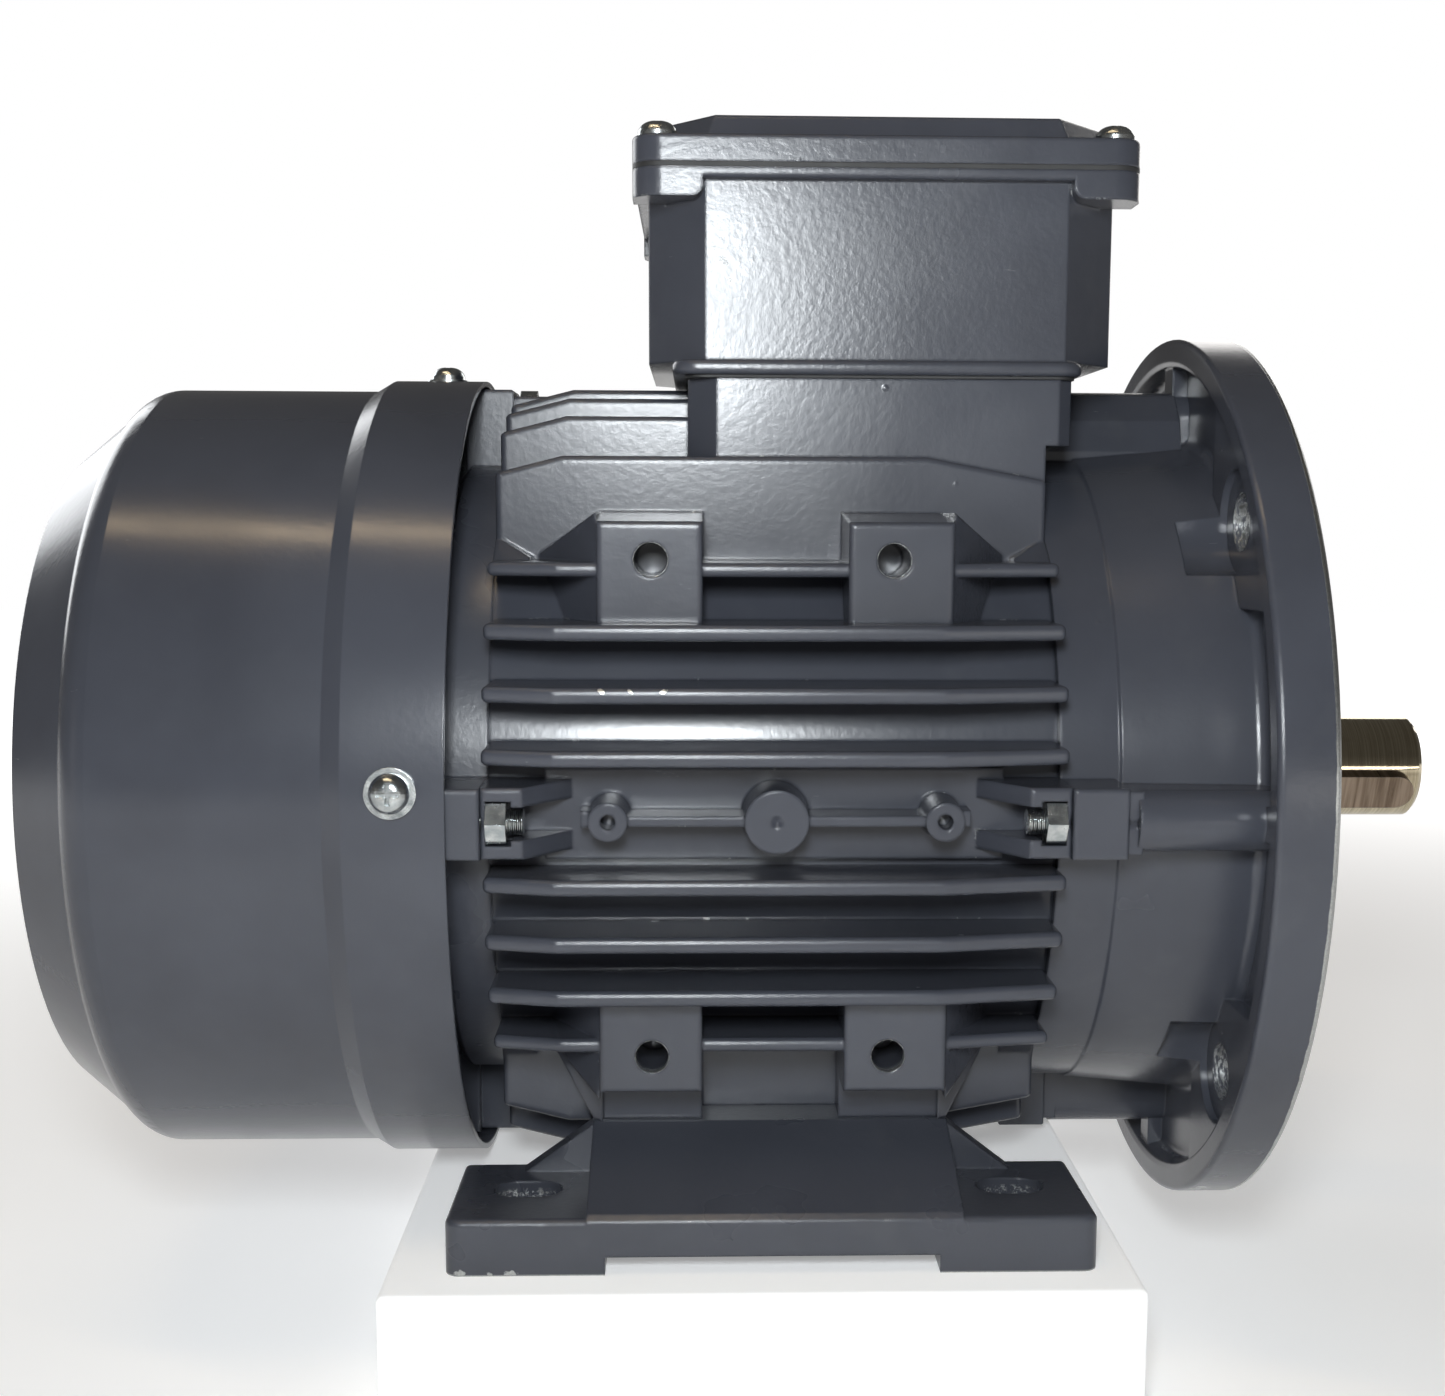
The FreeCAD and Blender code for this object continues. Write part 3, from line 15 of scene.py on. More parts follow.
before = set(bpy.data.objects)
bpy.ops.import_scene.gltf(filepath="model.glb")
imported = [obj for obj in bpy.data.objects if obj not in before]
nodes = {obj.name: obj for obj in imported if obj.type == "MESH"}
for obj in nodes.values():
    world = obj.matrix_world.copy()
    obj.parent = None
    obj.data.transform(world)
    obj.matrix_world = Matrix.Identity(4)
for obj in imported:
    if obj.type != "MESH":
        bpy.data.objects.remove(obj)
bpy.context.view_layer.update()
MM = 0.001

# camera, close to the object, so the perspective is strong
CAMERA_PLACE = (-0.1211, -0.4424, 0.0597)
CAMERA_YAW = -1.83
CAMERA_PITCH = -7.56
CAMERA_ROLL = -0.25
CAMERA_LENS_MM = 46.48
CAMERA_SHIFT = (-0.0233, 0.0435)

# paint: dark slate enamel
SLATE = (0.053, 0.057, 0.071)
SLATE_DARK = (0.041, 0.044, 0.055)
SLATE_DUSTY = (0.090, 0.093, 0.102)
# painted shade: a near-black colour for the shade inside small pits in the paint
PAINTED_PIT_SHADE = (0.006, 0.006, 0.008)

# marks in the paint, in mm: place, radius, and for some how ragged the edge is
FIN_CHIPS = [((-139.5, -84.6, 25.6), 0.7), ((-134.0, -84.6, 25.7), 0.6), ((-127.5, -84.6, 25.6), 0.7)]
RIM_SCRATCHES = [((-8.5, -46.0, -88.8), 1.5, 1.6), ((-7.5, -44.5, -89.6), 1.2, 1.6),
                 ((-9.4, -43.0, -90.3), 1.1, 1.6)]
FOOT_CHIPS = [((-168.0, -89.0, -89.8), 1.2), ((-162.0, -89.0, -90.0), 0.9), ((-158.0, -89.0, -89.9), 1.3)]
BOX_CHIP = [((-60.2, -49.0, 109.5), 0.22)]
# the pit spots below are painted shade: black spots in the box's colour for the shade inside pits, with
# no dent in the surface
BOX_PIT_SHADES = [((-116.0, -49.0, 111.6), 0.55), ((-115.2, -49.0, 110.8), 0.4), ((-114.4, -49.0, 107.3), 0.5)]

# where the castings are machined bare
PAD_HOLES_MIDDLE_X = -106.15 * MM
PAD_HOLE_FROM_MIDDLE = 24.15 * MM
PAD_FACE_Y = 72.2 * MM
PAD_HOLE_LATERAL = 50.5 * MM
PAD_HOLE_R = 3.4 * MM
FLANGE_HOLE_OFFSET = 58.34 * MM
FLANGE_HOLE_R = 6.0 * MM
FOOT_SLOT_FROM_MIDDLE = 50.0 * MM
FOOT_SLOT_Y = 70.0 * MM
FOOT_SLOT_COVER_R = 7.4 * MM  # a circle that takes in the whole slot
FOOT_MIDDLE_X = -106.0 * MM
FOOT_SLOT_BARE_Z = (-80.5 * MM, -81.5 * MM)
FOOT_SOLE_BARE_Z = (-89.6 * MM, -89.9 * MM)
FLANGE_BARE_X = (-1.25 * MM, -1.05 * MM)

# the tie bolts' thread lines, faded out at both ends, short of the bolt heads
THREAD_PITCH = 0.8 * MM
THREAD_REAR_X = (-173 * MM, -172 * MM)
THREAD_DRIVE_X = (-9 * MM, -10 * MM)

# stage, in metres; the floor glows more with the distance from the motor
WHITE = (1.0, 1.0, 1.0)
FLOOR_BELOW_FLANGE = 20 * MM
FLOOR_REACH = 3.0
FLOOR_THICKNESS = 0.02
FLOOR_FADE = (0.3, 1.3)
FLOOR_GLOW = (0.30, 0.95)
PLINTH_PAST_REAR = 12 * MM
PLINTH_PAST_DRIVE = 8 * MM
PLINTH_PAST_SIDES = 10 * MM
PLINTH_EDGE = 1.5 * MM

# fill from the surroundings, by the height of the direction it comes from (-1 is down, 1 is up)
FILL_COLOUR = (1.0, 0.97, 0.94)
FILL_HEIGHTS = (-0.25, 0.45)
FILL_STRENGTHS = (0.17, 0.08)

# soft lights: name, place, target, width and height in metres, power in watts, colour
LIGHTS = (
    ("flash", (-0.135, -0.47, 0.150), (-0.12, 0.0, 0.02), (0.06, 0.09), 1.75, (0.92, 0.97, 1.0)),
    ("warm_overhead", (-0.32, -0.30, 1.00), (-0.18, 0.0, 0.0), (0.6, 0.05), 1.4, (1.0, 0.76, 0.48)),
    ("right_strip", (0.17, -0.47, 0.018), (0.02, 0.0, 0.0), (0.14, 0.02), 0.07, (1.0, 0.97, 0.92)),
    ("low_left", (-0.9, -0.5, -0.02), (-0.20, 0.0, 0.0), (0.25, 0.6), 0.12, (1.0, 0.88, 0.80)),
    ("back_left", (-1.0, 0.9, 0.45), (-0.12, 0.05, 0.0), (0.7, 0.7), 6.0, (0.96, 0.98, 1.0)),
    ("back_right", (0.6, 1.1, 0.45), (-0.12, 0.05, 0.0), (0.7, 0.7), 4.0, (1.0, 0.98, 0.96)),
)


# ---------------------------------------------------------------- node helpers


class Shade:
    """Builds one material's nodes with short calls."""

    def __init__(self, name):
        self.material = bpy.data.materials.new(name)
        self.material.use_nodes = True
        self.tree = self.material.node_tree
        self.shader = self.tree.nodes["Principled BSDF"]
        self.place = self.node("ShaderNodeTexCoord").outputs["Object"]

    def node(self, kind, inputs=None, **settings):
        made = self.tree.nodes.new(kind)
        for key, value in settings.items():
            setattr(made, key, value)
        for key, value in (inputs or {}).items():
            self.put(made.inputs[key], value)
        return made

    def put(self, socket, value):
        if isinstance(value, bpy.types.NodeSocket):
            self.tree.links.new(value, socket)
        elif isinstance(value, tuple) and len(value) == 3 and socket.type == "RGBA":
            socket.default_value = (*value, 1.0)
        else:
            socket.default_value = value

    def set(self, **values):
        for key, value in values.items():
            self.put(self.shader.inputs[key.replace("_", " ")], value)

    def math(self, operation, a, b=0.0, clamp=False):
        made = self.node("ShaderNodeMath", operation=operation, use_clamp=clamp)
        self.put(made.inputs[0], a)
        self.put(made.inputs[1], b)
        return made.outputs[0]

    def vector(self, operation, a, b=(0.0, 0.0, 0.0)):
        made = self.node("ShaderNodeVectorMath", operation=operation)
        self.put(made.inputs[0], a)
        if operation not in ("ABSOLUTE", "LENGTH"):
            made.inputs[1].default_value = b
        return made.outputs["Value" if operation == "LENGTH" else "Vector"]

    def ramp(self, value, low, high):
        """0 below low, 1 above high, smooth between; low may be above high."""
        made = self.node("ShaderNodeMapRange", interpolation_type="SMOOTHSTEP")
        for key, item in (("Value", value), ("From Min", low), ("From Max", high)):
            self.put(made.inputs[key], item)
        return made.outputs["Result"]

    def between(self, value, low, high):
        """Maps 0..1 to low..high."""
        made = self.node("ShaderNodeMapRange")
        for key, item in (("Value", value), ("To Min", low), ("To Max", high)):
            self.put(made.inputs[key], item)
        return made.outputs["Result"]

    def mix(self, factor, a, b):
        made = self.node("ShaderNodeMix", data_type="RGBA")
        self.put(made.inputs["Factor"], factor)
        self.put(made.inputs[6], a)
        self.put(made.inputs[7], b)
        return made.outputs[2]

    def noise(self, scale, detail=2.0, rough=0.5, vector=None, distortion=0.0):
        made = self.node("ShaderNodeTexNoise", {"Scale": scale, "Detail": detail, "Roughness": rough,
                                                "Distortion": distortion})
        self.put(made.inputs["Vector"], vector or self.place)
        return made.outputs["Fac"]

    def cells(self, scale):
        made = self.node("ShaderNodeTexVoronoi", {"Scale": scale})
        self.put(made.inputs["Vector"], self.place)
        return made.outputs["Distance"]

    def stretched(self, scale):
        made = self.node("ShaderNodeMapping")
        made.inputs["Scale"].default_value = scale
        self.put(made.inputs["Vector"], self.place)
        return made.outputs["Vector"]

    def axes(self):
        made = self.node("ShaderNodeSeparateXYZ")
        self.put(made.inputs[0], self.place)
        return made.outputs

    def edge(self, radius):
        """Rounded-edge normal, and how strongly it differs from the flat one, 0 to 1."""
        bevel = self.node("ShaderNodeBevel", samples=4)
        bevel.inputs["Radius"].default_value = radius
        plain = self.node("ShaderNodeNewGeometry").outputs["Normal"]
        made = self.node("ShaderNodeVectorMath", operation="DOT_PRODUCT")
        self.put(made.inputs[0], bevel.outputs["Normal"])
        self.put(made.inputs[1], plain)
        return bevel.outputs["Normal"], self.math("SUBTRACT", 1.0, made.outputs["Value"], clamp=True)

    def bump(self, height, distance, strength=1.0, normal=None):
        made = self.node("ShaderNodeBump", {"Height": height, "Distance": distance, "Strength": strength})
        if normal is not None:
            self.put(made.inputs["Normal"], normal)
        return made.outputs["Normal"]

    def any_of(self, masks):
        total = masks[0]
        for mask in masks[1:]:
            total = self.math("MAXIMUM", total, mask)
        return total

    def spot(self, centre_mm, radius_mm, ragged_mm=0.6):
        """A ragged spot round a point."""
        offset = self.vector("SUBTRACT", self.place, tuple(c * MM for c in centre_mm))
        wobble = self.math("SUBTRACT", self.noise(900.0, 3.0), 0.5)
        ragged = self.math("MULTIPLY", wobble, ragged_mm * 4 * MM)
        reach = self.math("ADD", self.vector("LENGTH", offset), ragged)
        return self.ramp(reach, radius_mm * MM, radius_mm * 0.75 * MM)

    def ring_of_holes(self, absolute, centre, axis, radius):
        """1 inside round holes along an axis, at mirrored places given by one corner."""
        flat = tuple(0.0 if i == axis else 1.0 for i in range(3))
        offset = self.vector("MULTIPLY", self.vector("SUBTRACT", absolute, centre), flat)
        reach = self.vector("LENGTH", offset)
        return self.ramp(reach, radius + 0.16 * MM, radius + 0.04 * MM)


# ---------------------------------------------------------------- paint


def machined_colour(shade):
    fine = shade.noise(2500.0, 4.0)
    return shade.mix(fine, (0.26, 0.27, 0.27), (0.62, 0.63, 0.62))


def paint(name, peel=0.55, grain=0.5, gloss=0.30, bare=None, chips=(), pits=(), edge_wear=0.12,
          edge_radius=0.9, dust=0.2):
    """Slate enamel on metal: orange peel, casting grain, worn edges, chips, and places left bare.

    peel and grain are bump strengths, gloss is the middle of the roughness, and edge_radius is in mm.
    """
    shade = Shade(name)
    rounded, edge = shade.edge(edge_radius * MM)
    cloud = shade.noise(18.0, 4.0, 0.6)
    patch = shade.noise(70.0, 3.0, 0.55)
    tone = shade.mix(shade.ramp(cloud, 0.3, 0.75), SLATE, SLATE_DARK)
    tone = shade.mix(shade.math("MULTIPLY", shade.ramp(patch, 0.55, 0.8), dust), tone, SLATE_DUSTY)
    scuff_lines = shade.noise(1.0, 5.0, 0.65, shade.stretched((60.0, 240.0, 420.0)), 0.4)
    scuffs = shade.ramp(scuff_lines, 0.70, 0.78)
    tone = shade.mix(shade.math("MULTIPLY", scuffs, 0.25), tone, SLATE_DUSTY)
    # painted shade: each pit is a black spot in the colour for the shade inside it; the surface has no
    # dent there
    if pits:
        tone = shade.mix(shade.any_of([shade.spot(*pit) for pit in pits]), tone, PAINTED_PIT_SHADE)
    rubbed = shade.ramp(shade.noise(140.0, 5.0, 0.7), 0.76 - edge_wear, 0.80 - edge_wear)
    worn = shade.math("MULTIPLY", shade.ramp(edge, 0.05, 0.25), rubbed)
    masks = [worn] + [shade.spot(*chip) for chip in chips]
    if bare:
        masks += bare(shade)
    metal = shade.any_of(masks)
    shade.set(Base_Color=shade.mix(metal, tone, machined_colour(shade)), Metallic=metal)
    roughness = shade.between(shade.noise(45.0, 3.0), gloss - 0.05, gloss + 0.09)
    roughness = shade.math("ADD", roughness, shade.math("MULTIPLY", scuffs, 0.15))
    roughness = shade.math("ADD", roughness, shade.math("MULTIPLY", metal, 0.08), clamp=True)
    shade.set(Roughness=roughness)
    fine_peel = shade.math("MULTIPLY", shade.noise(2200.0, 2.0), 0.35)
    peel_height = shade.math("ADD", shade.noise(700.0, 2.0, 0.45), fine_peel)
    skin = shade.bump(peel_height, 0.06 * MM, peel, rounded)
    pimples = shade.ramp(shade.cells(85.0), 0.075, 0.0)
    pimples = shade.math("MULTIPLY", pimples, shade.ramp(patch, 0.5, 0.6))
    skin = shade.bump(pimples, 0.22 * MM, grain, skin)
    skin = shade.bump(shade.math("SUBTRACT", 1.0, metal), 0.12 * MM, 0.5, skin)
    shade.set(Normal=skin)
    shade.shader.inputs["Specular IOR Level"].default_value = 0.5
    return shade.material


def housing_bare(shade):
    """The mouths of the tapped holes in the side pads; deeper down they are dark."""
    middle = shade.vector("SUBTRACT", shade.place, (PAD_HOLES_MIDDLE_X, 0.0, 0.0))
    away = shade.vector("ABSOLUTE", middle)
    side = shade.ring_of_holes(away, (PAD_HOLE_FROM_MIDDLE, 0.0, PAD_HOLE_LATERAL), 1, PAD_HOLE_R)
    depth = shade.math("ABSOLUTE", shade.axes()[1])
    mouth = shade.ramp(depth, PAD_FACE_Y - 3.5 * MM, PAD_FACE_Y - 1.0 * MM)
    streaks = shade.ramp(shade.noise(1.0, 4.0, 0.7, shade.stretched((700.0, 2500.0, 700.0))), 0.36, 0.56)
    return [shade.math("MULTIPLY", shade.math("MULTIPLY", side, mouth), streaks)]


def flange_bare(shade):
    """The mounting face, its thin turned edge, the spigot, and the four bolt holes."""
    x = shade.axes()[0]
    ragged = shade.math("MULTIPLY", shade.math("SUBTRACT", shade.noise(300.0, 3.0), 0.5), 0.5 * MM)
    face = shade.ramp(shade.math("ADD", x, ragged), *FLANGE_BARE_X)
    away = shade.vector("ABSOLUTE", shade.place)
    holes = shade.ring_of_holes(away, (0.0, FLANGE_HOLE_OFFSET, FLANGE_HOLE_OFFSET), 0, FLANGE_HOLE_R)
    streaks = shade.ramp(shade.noise(1.0, 4.0, 0.7, shade.stretched((1800.0, 500.0, 500.0))), 0.42, 0.60)
    return [face, shade.math("MULTIPLY", holes, streaks)]


def foot_bare(shade):
    """The soles, and thin paint inside the slots."""
    z = shade.axes()[2]
    middle = shade.vector("SUBTRACT", shade.place, (FOOT_MIDDLE_X, 0.0, 0.0))
    away = shade.vector("ABSOLUTE", middle)
    slot = shade.ring_of_holes(away, (FOOT_SLOT_FROM_MIDDLE, FOOT_SLOT_Y, 0.0), 2, FOOT_SLOT_COVER_R)
    rubbed = shade.ramp(shade.noise(1100.0, 4.0, 0.7), 0.50, 0.66)
    below_top = shade.ramp(z, *FOOT_SLOT_BARE_Z)
    sole = shade.ramp(z, *FOOT_SOLE_BARE_Z)
    return [sole, shade.math("MULTIPLY", shade.math("MULTIPLY", slot, below_top), rubbed)]


# ---------------------------------------------------------------- other materials


def zinc(name, threaded=False):
    """Bright zinc plate, slightly clouded; thread lines run round X on the tie bolts' shanks."""
    shade = Shade(name)
    rounded, edge = shade.edge(0.25 * MM)
    cloud = shade.noise(350.0, 4.0, 0.6)
    tone = shade.mix(shade.ramp(cloud, 0.3, 0.7), (0.36, 0.39, 0.40), (0.62, 0.64, 0.63))
    stain = shade.ramp(shade.noise(700.0, 4.0, 0.7), 0.62, 0.75)
    tone = shade.mix(shade.math("MULTIPLY", stain, 0.5), tone, (0.30, 0.27, 0.20))
    # painted highlight: the colour is lighter along every rounded edge, concave ones too, for the gleam
    # of light on the edges
    tone = shade.mix(shade.math("MULTIPLY", edge, 0.7), tone, (0.85, 0.86, 0.85))
    shade.set(Base_Color=tone, Roughness=shade.between(cloud, 0.16, 0.34))
    skin = shade.bump(shade.noise(2200.0, 3.0), 0.03 * MM, 0.5, rounded)
    if threaded:
        x = shade.axes()[0]
        turns = shade.math("SINE", shade.math("MULTIPLY", x, 2 * math.pi / THREAD_PITCH))
        shank = shade.math("MULTIPLY", shade.ramp(x, *THREAD_REAR_X), shade.ramp(x, *THREAD_DRIVE_X))
        skin = shade.bump(shade.math("MULTIPLY", turns, shank), 0.22 * MM, 1.0, skin)
    shade.set(Normal=skin)
    shade.shader.inputs["Metallic"].default_value = 1.0
    return shade.material


def ground_steel(name, low, high, roughness=(0.14, 0.30), ring_scale=5200.0, edge_radius=0.3):
    """Turned or ground steel: fine rings round the shaft axis, a few stains and handling scratches."""
    shade = Shade(name)
    rounded, edge = shade.edge(edge_radius * MM)
    rings = shade.noise(1.0, 3.0, 0.6, shade.stretched((ring_scale, 40.0, 40.0)))
    broad = shade.noise(60.0, 4.0, 0.6)
    tone = shade.mix(shade.ramp(rings, 0.3, 0.7), low, high)
    stain = shade.math("MULTIPLY", shade.ramp(broad, 0.55, 0.75), 0.45)
    tone = shade.mix(stain, tone, (0.24, 0.17, 0.10))
    # painted highlight: the colour is lighter along every rounded edge, concave ones too, for the gleam
    # of light on the edges
    tone = shade.mix(shade.math("MULTIPLY", edge, 0.6), tone, (0.8, 0.8, 0.78))
    scratch = shade.ramp(shade.noise(1.0, 4.0, 0.7, shade.stretched((90.0, 1500.0, 1500.0))), 0.70, 0.76)
    scratched = shade.math("MULTIPLY", scratch, 0.15)
    rough = shade.math("ADD", shade.between(rings, *roughness), scratched, clamp=True)
    shade.set(Base_Color=tone, Roughness=rough)
    bumped = shade.bump(rings, 0.012 * MM, 0.6, rounded)
    shade.set(Normal=shade.bump(scratch, 0.02 * MM, 0.4, bumped))
    shade.shader.inputs["Metallic"].default_value = 1.0
    return shade.material


def moulded(name, low, high, roughness=(0.38, 0.55), pits=900.0, depth=0.05, edge_radius=0.4):
    """Moulded plastic or rubber with a fine skin."""
    shade = Shade(name)
    rounded, edge = shade.edge(edge_radius * MM)
    cloud = shade.noise(40.0, 4.0, 0.6)
    tone = shade.mix(cloud, low, high)
    # painted highlight: the colour is lighter along every rounded edge, concave ones too, for the sheen
    # of light on the edges
    tone = shade.mix(shade.math("MULTIPLY", edge, 0.35), tone, tuple(min(1.0, c * 2.2) for c in high))
    shade.set(Base_Color=tone, Roughness=shade.between(shade.noise(160.0, 3.0), *roughness))
    shade.set(Normal=shade.bump(shade.noise(pits, 3.0, 0.6), depth * MM, 0.6, rounded))
    return shade.material


def laminated(name):
    """A stack of thin steel sheets seen on edge."""
    shade = Shade(name)
    sheets = shade.noise(1.0, 1.0, 0.5, shade.stretched((2000.0, 0.5, 0.5)))
    oxide = shade.noise(90.0, 4.0, 0.65)
    tone = shade.mix(shade.ramp(sheets, 0.35, 0.65), (0.10, 0.10, 0.11), (0.30, 0.30, 0.31))
    tone = shade.mix(shade.math("MULTIPLY", shade.ramp(oxide, 0.55, 0.75), 0.5), tone, (0.16, 0.08, 0.04))
    shade.set(Base_Color=tone, Roughness=shade.between(sheets, 0.35, 0.6))
    shade.set(Normal=shade.bump(sheets, 0.08 * MM, 0.6))
    shade.shader.inputs["Metallic"].default_value = 1.0
    return shade.material


def wound_copper(name):
    """Varnished copper turns lying side by side."""
    shade = Shade(name)
    turns = shade.node("ShaderNodeTexWave",
                       {"Scale": 320.0, "Distortion": 6.0, "Detail": 2.0, "Detail Scale": 1.5})
    shade.put(turns.inputs["Vector"], shade.stretched((0.25, 1.0, 1.0)))
    varnish = shade.noise(120.0, 4.0, 0.6)
    # painted shade: the colour runs from dark in the grooves between turns to copper on their crests,
    # following the same bands as the bump
    tone = shade.mix(turns.outputs["Fac"], (0.20, 0.05, 0.02), (0.62, 0.22, 0.09))
    tone = shade.mix(shade.ramp(varnish, 0.55, 0.8), tone, (0.14, 0.05, 0.02))
    shade.set(Base_Color=tone, Roughness=shade.between(varnish, 0.22, 0.45))
    shade.set(Metallic=shade.between(varnish, 0.9, 0.5))
    shade.set(Normal=shade.bump(turns.outputs["Fac"], 0.35 * MM, 0.8))
    return shade.material


def yellow_metal(name, low, high):
    """Satin brass, a little tarnished."""
    shade = Shade(name)
    rounded, edge = shade.edge(0.2 * MM)
    tarnish = shade.noise(260.0, 4.0, 0.6)
    tone = shade.mix(shade.ramp(tarnish, 0.35, 0.7), high, low)
    # painted highlight: the colour is lighter along every rounded edge, concave ones too, for the gleam
    # of light on the edges
    tone = shade.mix(shade.math("MULTIPLY", edge, 0.5), tone, tuple(min(1.0, c * 1.3) for c in high))
    shade.set(Base_Color=tone, Roughness=shade.between(tarnish, 0.18, 0.38))
    shade.set(Normal=shade.bump(shade.noise(1800.0, 3.0), 0.03 * MM, 0.5, rounded))
    shade.shader.inputs["Metallic"].default_value = 1.0
    return shade.material


# ---------------------------------------------------------------- dressing the CAD nodes


def dress(material, *names):
    """Gives CAD nodes a material."""
    for name in names:
        mesh = nodes[name].data
        if mesh.materials:
            for slot in range(len(mesh.materials)):
                mesh.materials[slot] = material
        else:
            mesh.materials.append(material)


def dress_castings():
    housing = paint("housing_enamel", bare=housing_bare, grain=0.6, gloss=0.22, peel=0.4,
                    edge_radius=1.0, chips=FIN_CHIPS)
    dress(housing, "stator_housing")
    flange = paint("flange_enamel", bare=flange_bare, peel=0.4, gloss=0.22, edge_radius=0.7,
                   chips=RIM_SCRATCHES)
    dress(flange, "drive_end_shield")
    dress(paint("rear_shield_enamel", gloss=0.26), "rear_end_shield")
    cover = paint("fan_cover_enamel", peel=0.3, grain=0.0, gloss=0.20, edge_wear=0.02,
                  edge_radius=0.5, dust=0.08)
    dress(cover, "fan_cover")
    foot = paint("foot_enamel", bare=foot_bare, gloss=0.27, edge_radius=0.8, edge_wear=0.13,
                 chips=FOOT_CHIPS)
    dress(foot, "near_foot", "far_foot")
    box = paint("box_enamel", peel=0.6, grain=0.9, gloss=0.23, edge_radius=0.9, chips=BOX_CHIP,
                pits=BOX_PIT_SHADES)
    dress(box, "terminal_box", "terminal_lid")


def dress_fasteners():
    dress(zinc("zinc_threaded", True), "drive_tie_bolts", "rear_tie_bolts")
    dress(zinc("zinc_plate"), "fan_cover_screws", "fan_cover_washers", "drive_tie_nuts", "rear_tie_nuts",
          "foot_bolts", "foot_washers", "lid_screws", "box_screws", "block_screws", "earth_screw",
          "earth_clamp")


def bearing_nodes(*parts):
    return [f"{end}_bearing_{part}" for end in ("drive", "rear") for part in parts]


def dress_steel():
    shaft = ground_steel("shaft_ground", (0.40, 0.34, 0.23), (0.62, 0.55, 0.40), (0.05, 0.12))
    dress(shaft, "shaft")
    key = ground_steel("key_steel", (0.15, 0.11, 0.08), (0.32, 0.25, 0.19), (0.22, 0.38), 700.0)
    dress(key, "shaft_key")
    polished = ground_steel("bearing_steel", (0.55, 0.55, 0.56), (0.80, 0.80, 0.81), (0.08, 0.16))
    dress(polished, *bearing_nodes("inner_ring", "outer_ring", "balls"))
    pressed = ground_steel("pressed_steel", (0.38, 0.38, 0.38), (0.60, 0.60, 0.60), (0.28, 0.42), 900.0)
    dress(pressed, *bearing_nodes("cage", "shields"))
    blued = ground_steel("spring_steel", (0.10, 0.11, 0.14), (0.22, 0.24, 0.30), (0.25, 0.40))
    dress(blued, "wave_washer", "fan_clip")


def dress_windings():
    dress(laminated("lamination_stack"), "stator_core", "rotor_core")
    cast = ground_steel("cage_aluminium", (0.50, 0.51, 0.52), (0.74, 0.75, 0.76), (0.30, 0.5), 300.0)
    dress(cast, "rotor_cage")
    dress(wound_copper("copper_turns"), "stator_windings")
    dress(moulded("lead_silicone", (0.24, 0.02, 0.02), (0.40, 0.04, 0.03), (0.45, 0.6)), "motor_leads")
    brass = yellow_metal("satin_brass", (0.36, 0.22, 0.07), (0.70, 0.50, 0.19))
    dress(brass, "terminal_studs", "terminal_links", "terminal_nuts")
    dress(yellow_metal("tin_plate", (0.45, 0.43, 0.39), (0.72, 0.71, 0.68)), "lead_lugs")


def dress_plastic():
    dress(moulded("fan_moulding", (0.018, 0.018, 0.02), (0.035, 0.035, 0.038)), "cooling_fan")
    block = moulded("block_moulding", (0.06, 0.022, 0.014), (0.12, 0.05, 0.03), (0.3, 0.45))
    dress(block, "terminal_block")
    plug = moulded("plug_moulding", (0.02, 0.02, 0.022), (0.035, 0.035, 0.038), (0.25, 0.4))
    dress(plug, "cable_plugs")
    rubber = moulded("seal_rubber", (0.012, 0.012, 0.012), (0.024, 0.024, 0.025), (0.5, 0.7), 1500.0)
    dress(rubber, "shaft_seal", "rear_seal", "box_gasket", "lid_gasket", "plug_seals")


# ---------------------------------------------------------------- stage, lights, camera


def slab(name, x0, x1, y0, y1, z0, z1, material, soft=0.0):
    """A stage block with softened edges."""
    mesh = bpy.data.meshes.new(name)
    corners = [(x, y, z) for x in (x0, x1) for y in (y0, y1) for z in (z0, z1)]
    faces = [(0, 1, 3, 2), (4, 6, 7, 5), (0, 4, 5, 1), (2, 3, 7, 6), (0, 2, 6, 4), (1, 5, 7, 3)]
    mesh.from_pydata(corners, [], faces)
    mesh.materials.append(material)
    made = bpy.data.objects.new(name, mesh)
    bpy.context.scene.collection.objects.link(made)
    if soft:
        bevel = made.modifiers.new("soft", "BEVEL")
        bevel.width = soft
        bevel.segments = 4


def pale_stage_material():
    """Matt white that glows a little more with the distance, so that the floor runs into the backdrop."""
    shade = Shade("stage_pale")
    cloud = shade.noise(6.0, 3.0)
    tone = shade.mix(cloud, (0.80, 0.80, 0.80), (0.86, 0.86, 0.86))
    shade.set(Base_Color=tone, Roughness=shade.between(cloud, 0.75, 0.9))
    away = shade.vector("LENGTH", shade.vector("MULTIPLY", shade.place, (1.0, 1.0, 0.0)))
    glow = shade.between(shade.ramp(away, *FLOOR_FADE), *FLOOR_GLOW)
    shade.set(Emission_Color=WHITE, Emission_Strength=glow)
    return shade.material


def aim(thing, target):
    """Turns a light's or camera's -Z to a target."""
    direction = Vector(target) - thing.location
    thing.rotation_euler = direction.to_track_quat("-Z", "Y").to_euler()


def soft_light(name, place, target, size, power, colour):
    lamp = bpy.data.lights.new(name, "AREA")
    lamp.shape = "RECTANGLE"
    lamp.size, lamp.size_y = size
    lamp.energy = power
    lamp.color = colour
    thing = bpy.data.objects.new(name, lamp)
    thing.location = place
    bpy.context.scene.collection.objects.link(thing)
    aim(thing, target)


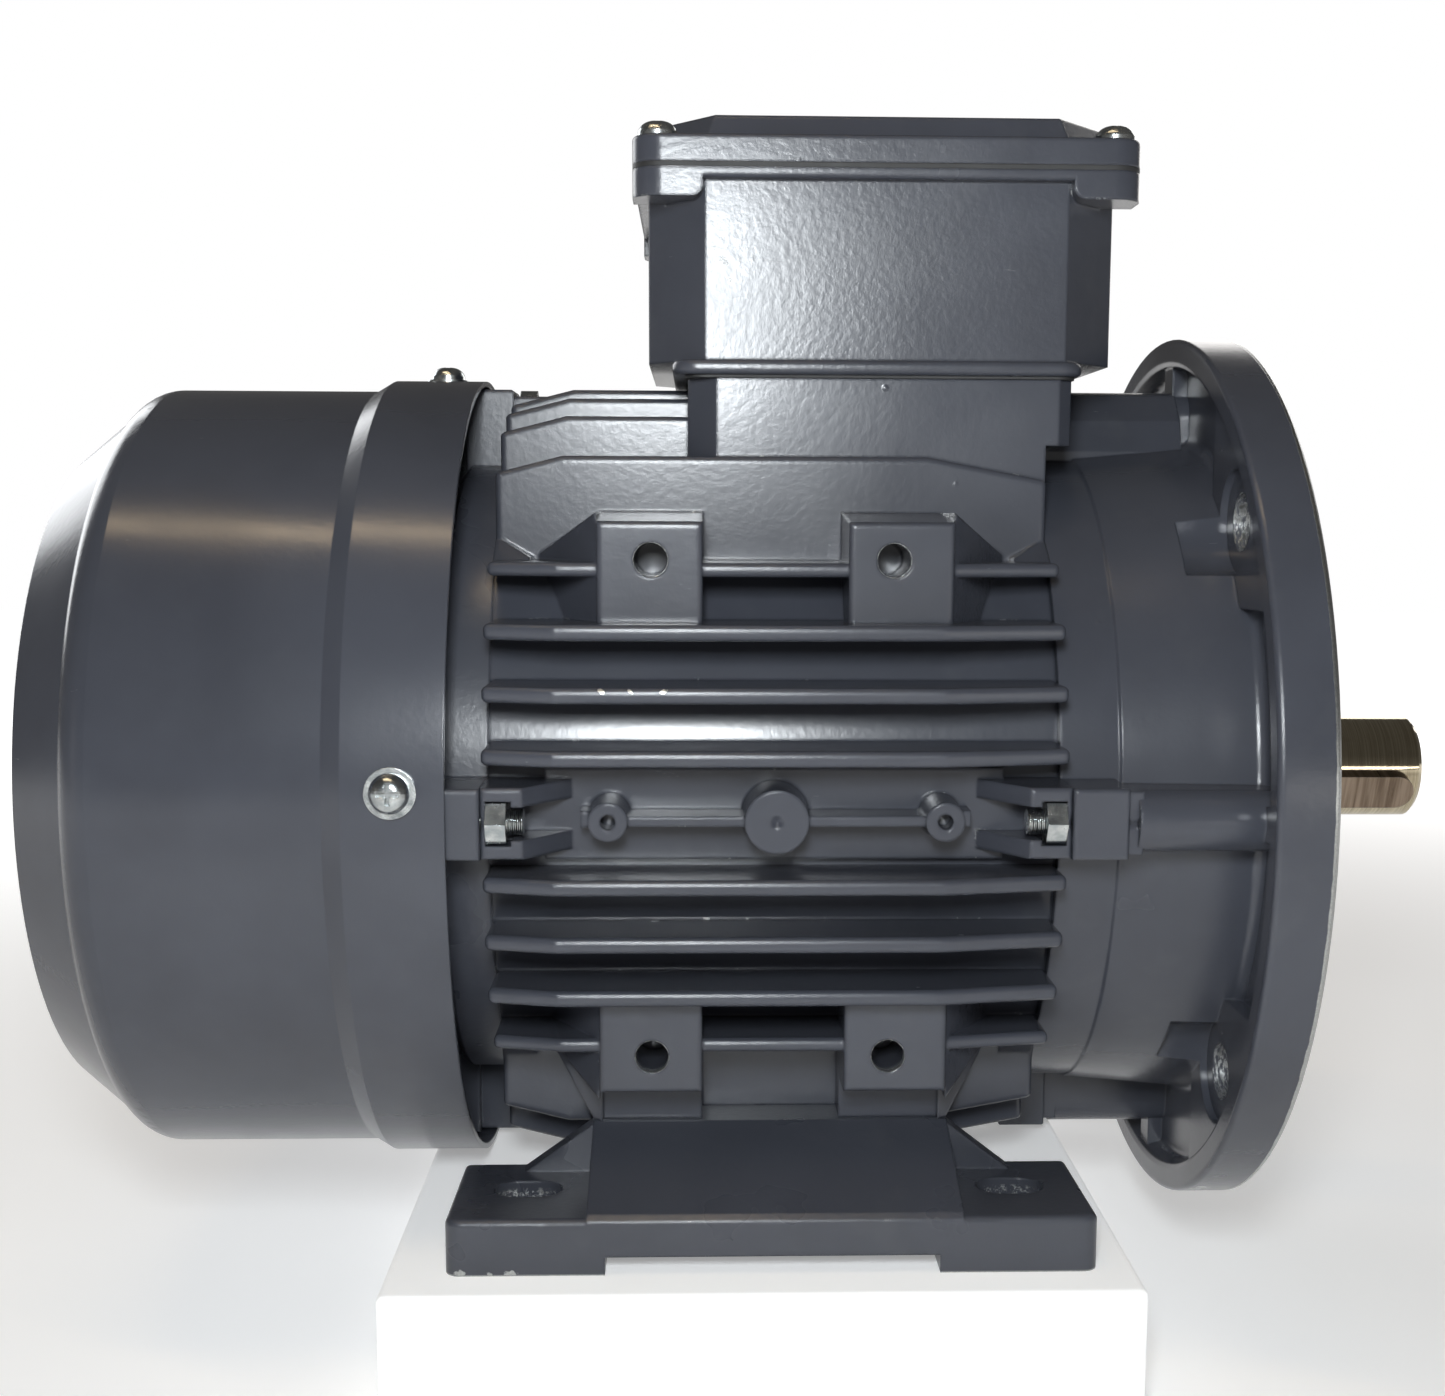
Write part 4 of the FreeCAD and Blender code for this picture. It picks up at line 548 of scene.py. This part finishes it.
def studio_world():
    """White behind the object, and a dimmer fill on it that falls off upwards."""
    world = bpy.data.worlds.new("studio")
    world.use_nodes = True
    tree = world.node_tree
    fill = tree.nodes["Background"]
    fill.inputs["Color"].default_value = (*FILL_COLOUR, 1.0)
    height = tree.nodes.new("ShaderNodeSeparateXYZ")
    tree.links.new(tree.nodes.new("ShaderNodeTexCoord").outputs["Generated"], height.inputs[0])
    falloff = tree.nodes.new("ShaderNodeMapRange")
    for key, value in zip(("From Min", "From Max", "To Min", "To Max"), FILL_HEIGHTS + FILL_STRENGTHS):
        falloff.inputs[key].default_value = value
    tree.links.new(height.outputs["Z"], falloff.inputs["Value"])
    tree.links.new(falloff.outputs["Result"], fill.inputs["Strength"])
    backdrop = tree.nodes.new("ShaderNodeBackground")
    backdrop.inputs["Color"].default_value = (*WHITE, 1.0)
    backdrop.inputs["Strength"].default_value = 1.0
    path = tree.nodes.new("ShaderNodeLightPath")
    mix = tree.nodes.new("ShaderNodeMixShader")
    tree.links.new(path.outputs["Is Camera Ray"], mix.inputs[0])
    tree.links.new(fill.outputs[0], mix.inputs[1])
    tree.links.new(backdrop.outputs[0], mix.inputs[2])
    tree.links.new(mix.outputs[0], tree.nodes["World Output"].inputs["Surface"])
    bpy.context.scene.world = world


def light_scene():
    """A small flash above the lens, a warm strip overhead, weak side lights, and two lights behind."""
    studio_world()
    for light in LIGHTS:
        soft_light(*light)


def place_camera():
    camera = bpy.data.cameras.new("camera")
    camera.lens = CAMERA_LENS_MM
    camera.sensor_width = 36.0
    camera.shift_x, camera.shift_y = CAMERA_SHIFT
    camera.clip_start = 0.01
    thing = bpy.data.objects.new("camera", camera)
    turn = (Matrix.Rotation(math.radians(CAMERA_YAW), 4, "Z")
            @ Matrix.Rotation(math.radians(CAMERA_PITCH), 4, "X")
            @ Matrix.Rotation(math.radians(CAMERA_ROLL), 4, "Y")
            @ Matrix.Rotation(math.radians(90.0), 4, "X"))
    thing.matrix_world = Matrix.Translation(CAMERA_PLACE) @ turn
    bpy.context.scene.collection.objects.link(thing)
    bpy.context.scene.camera = thing


def build_stage():
    """A wide floor below the flange, and a plinth under the feet, which end above the flange's rim."""
    pale = pale_stage_material()
    low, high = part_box("near_foot")
    _, far_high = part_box("far_foot")
    flange_low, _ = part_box("drive_end_shield")
    floor_z = flange_low.z - FLOOR_BELOW_FLANGE
    slab("floor", -FLOOR_REACH, FLOOR_REACH, -FLOOR_REACH, FLOOR_REACH, floor_z - FLOOR_THICKNESS,
         floor_z, pale)
    slab("plinth", low.x - PLINTH_PAST_REAR, high.x + PLINTH_PAST_DRIVE, low.y - PLINTH_PAST_SIDES,
         far_high.y + PLINTH_PAST_SIDES, floor_z, low.z, pale, PLINTH_EDGE)


dress_castings()
dress_fasteners()
dress_steel()
dress_windings()
dress_plastic()
build_stage()
light_scene()
place_camera()
bpy.context.scene.view_settings.view_transform = "Standard"


def plain(box):
    return [[float(value) for value in corner] for corner in box]
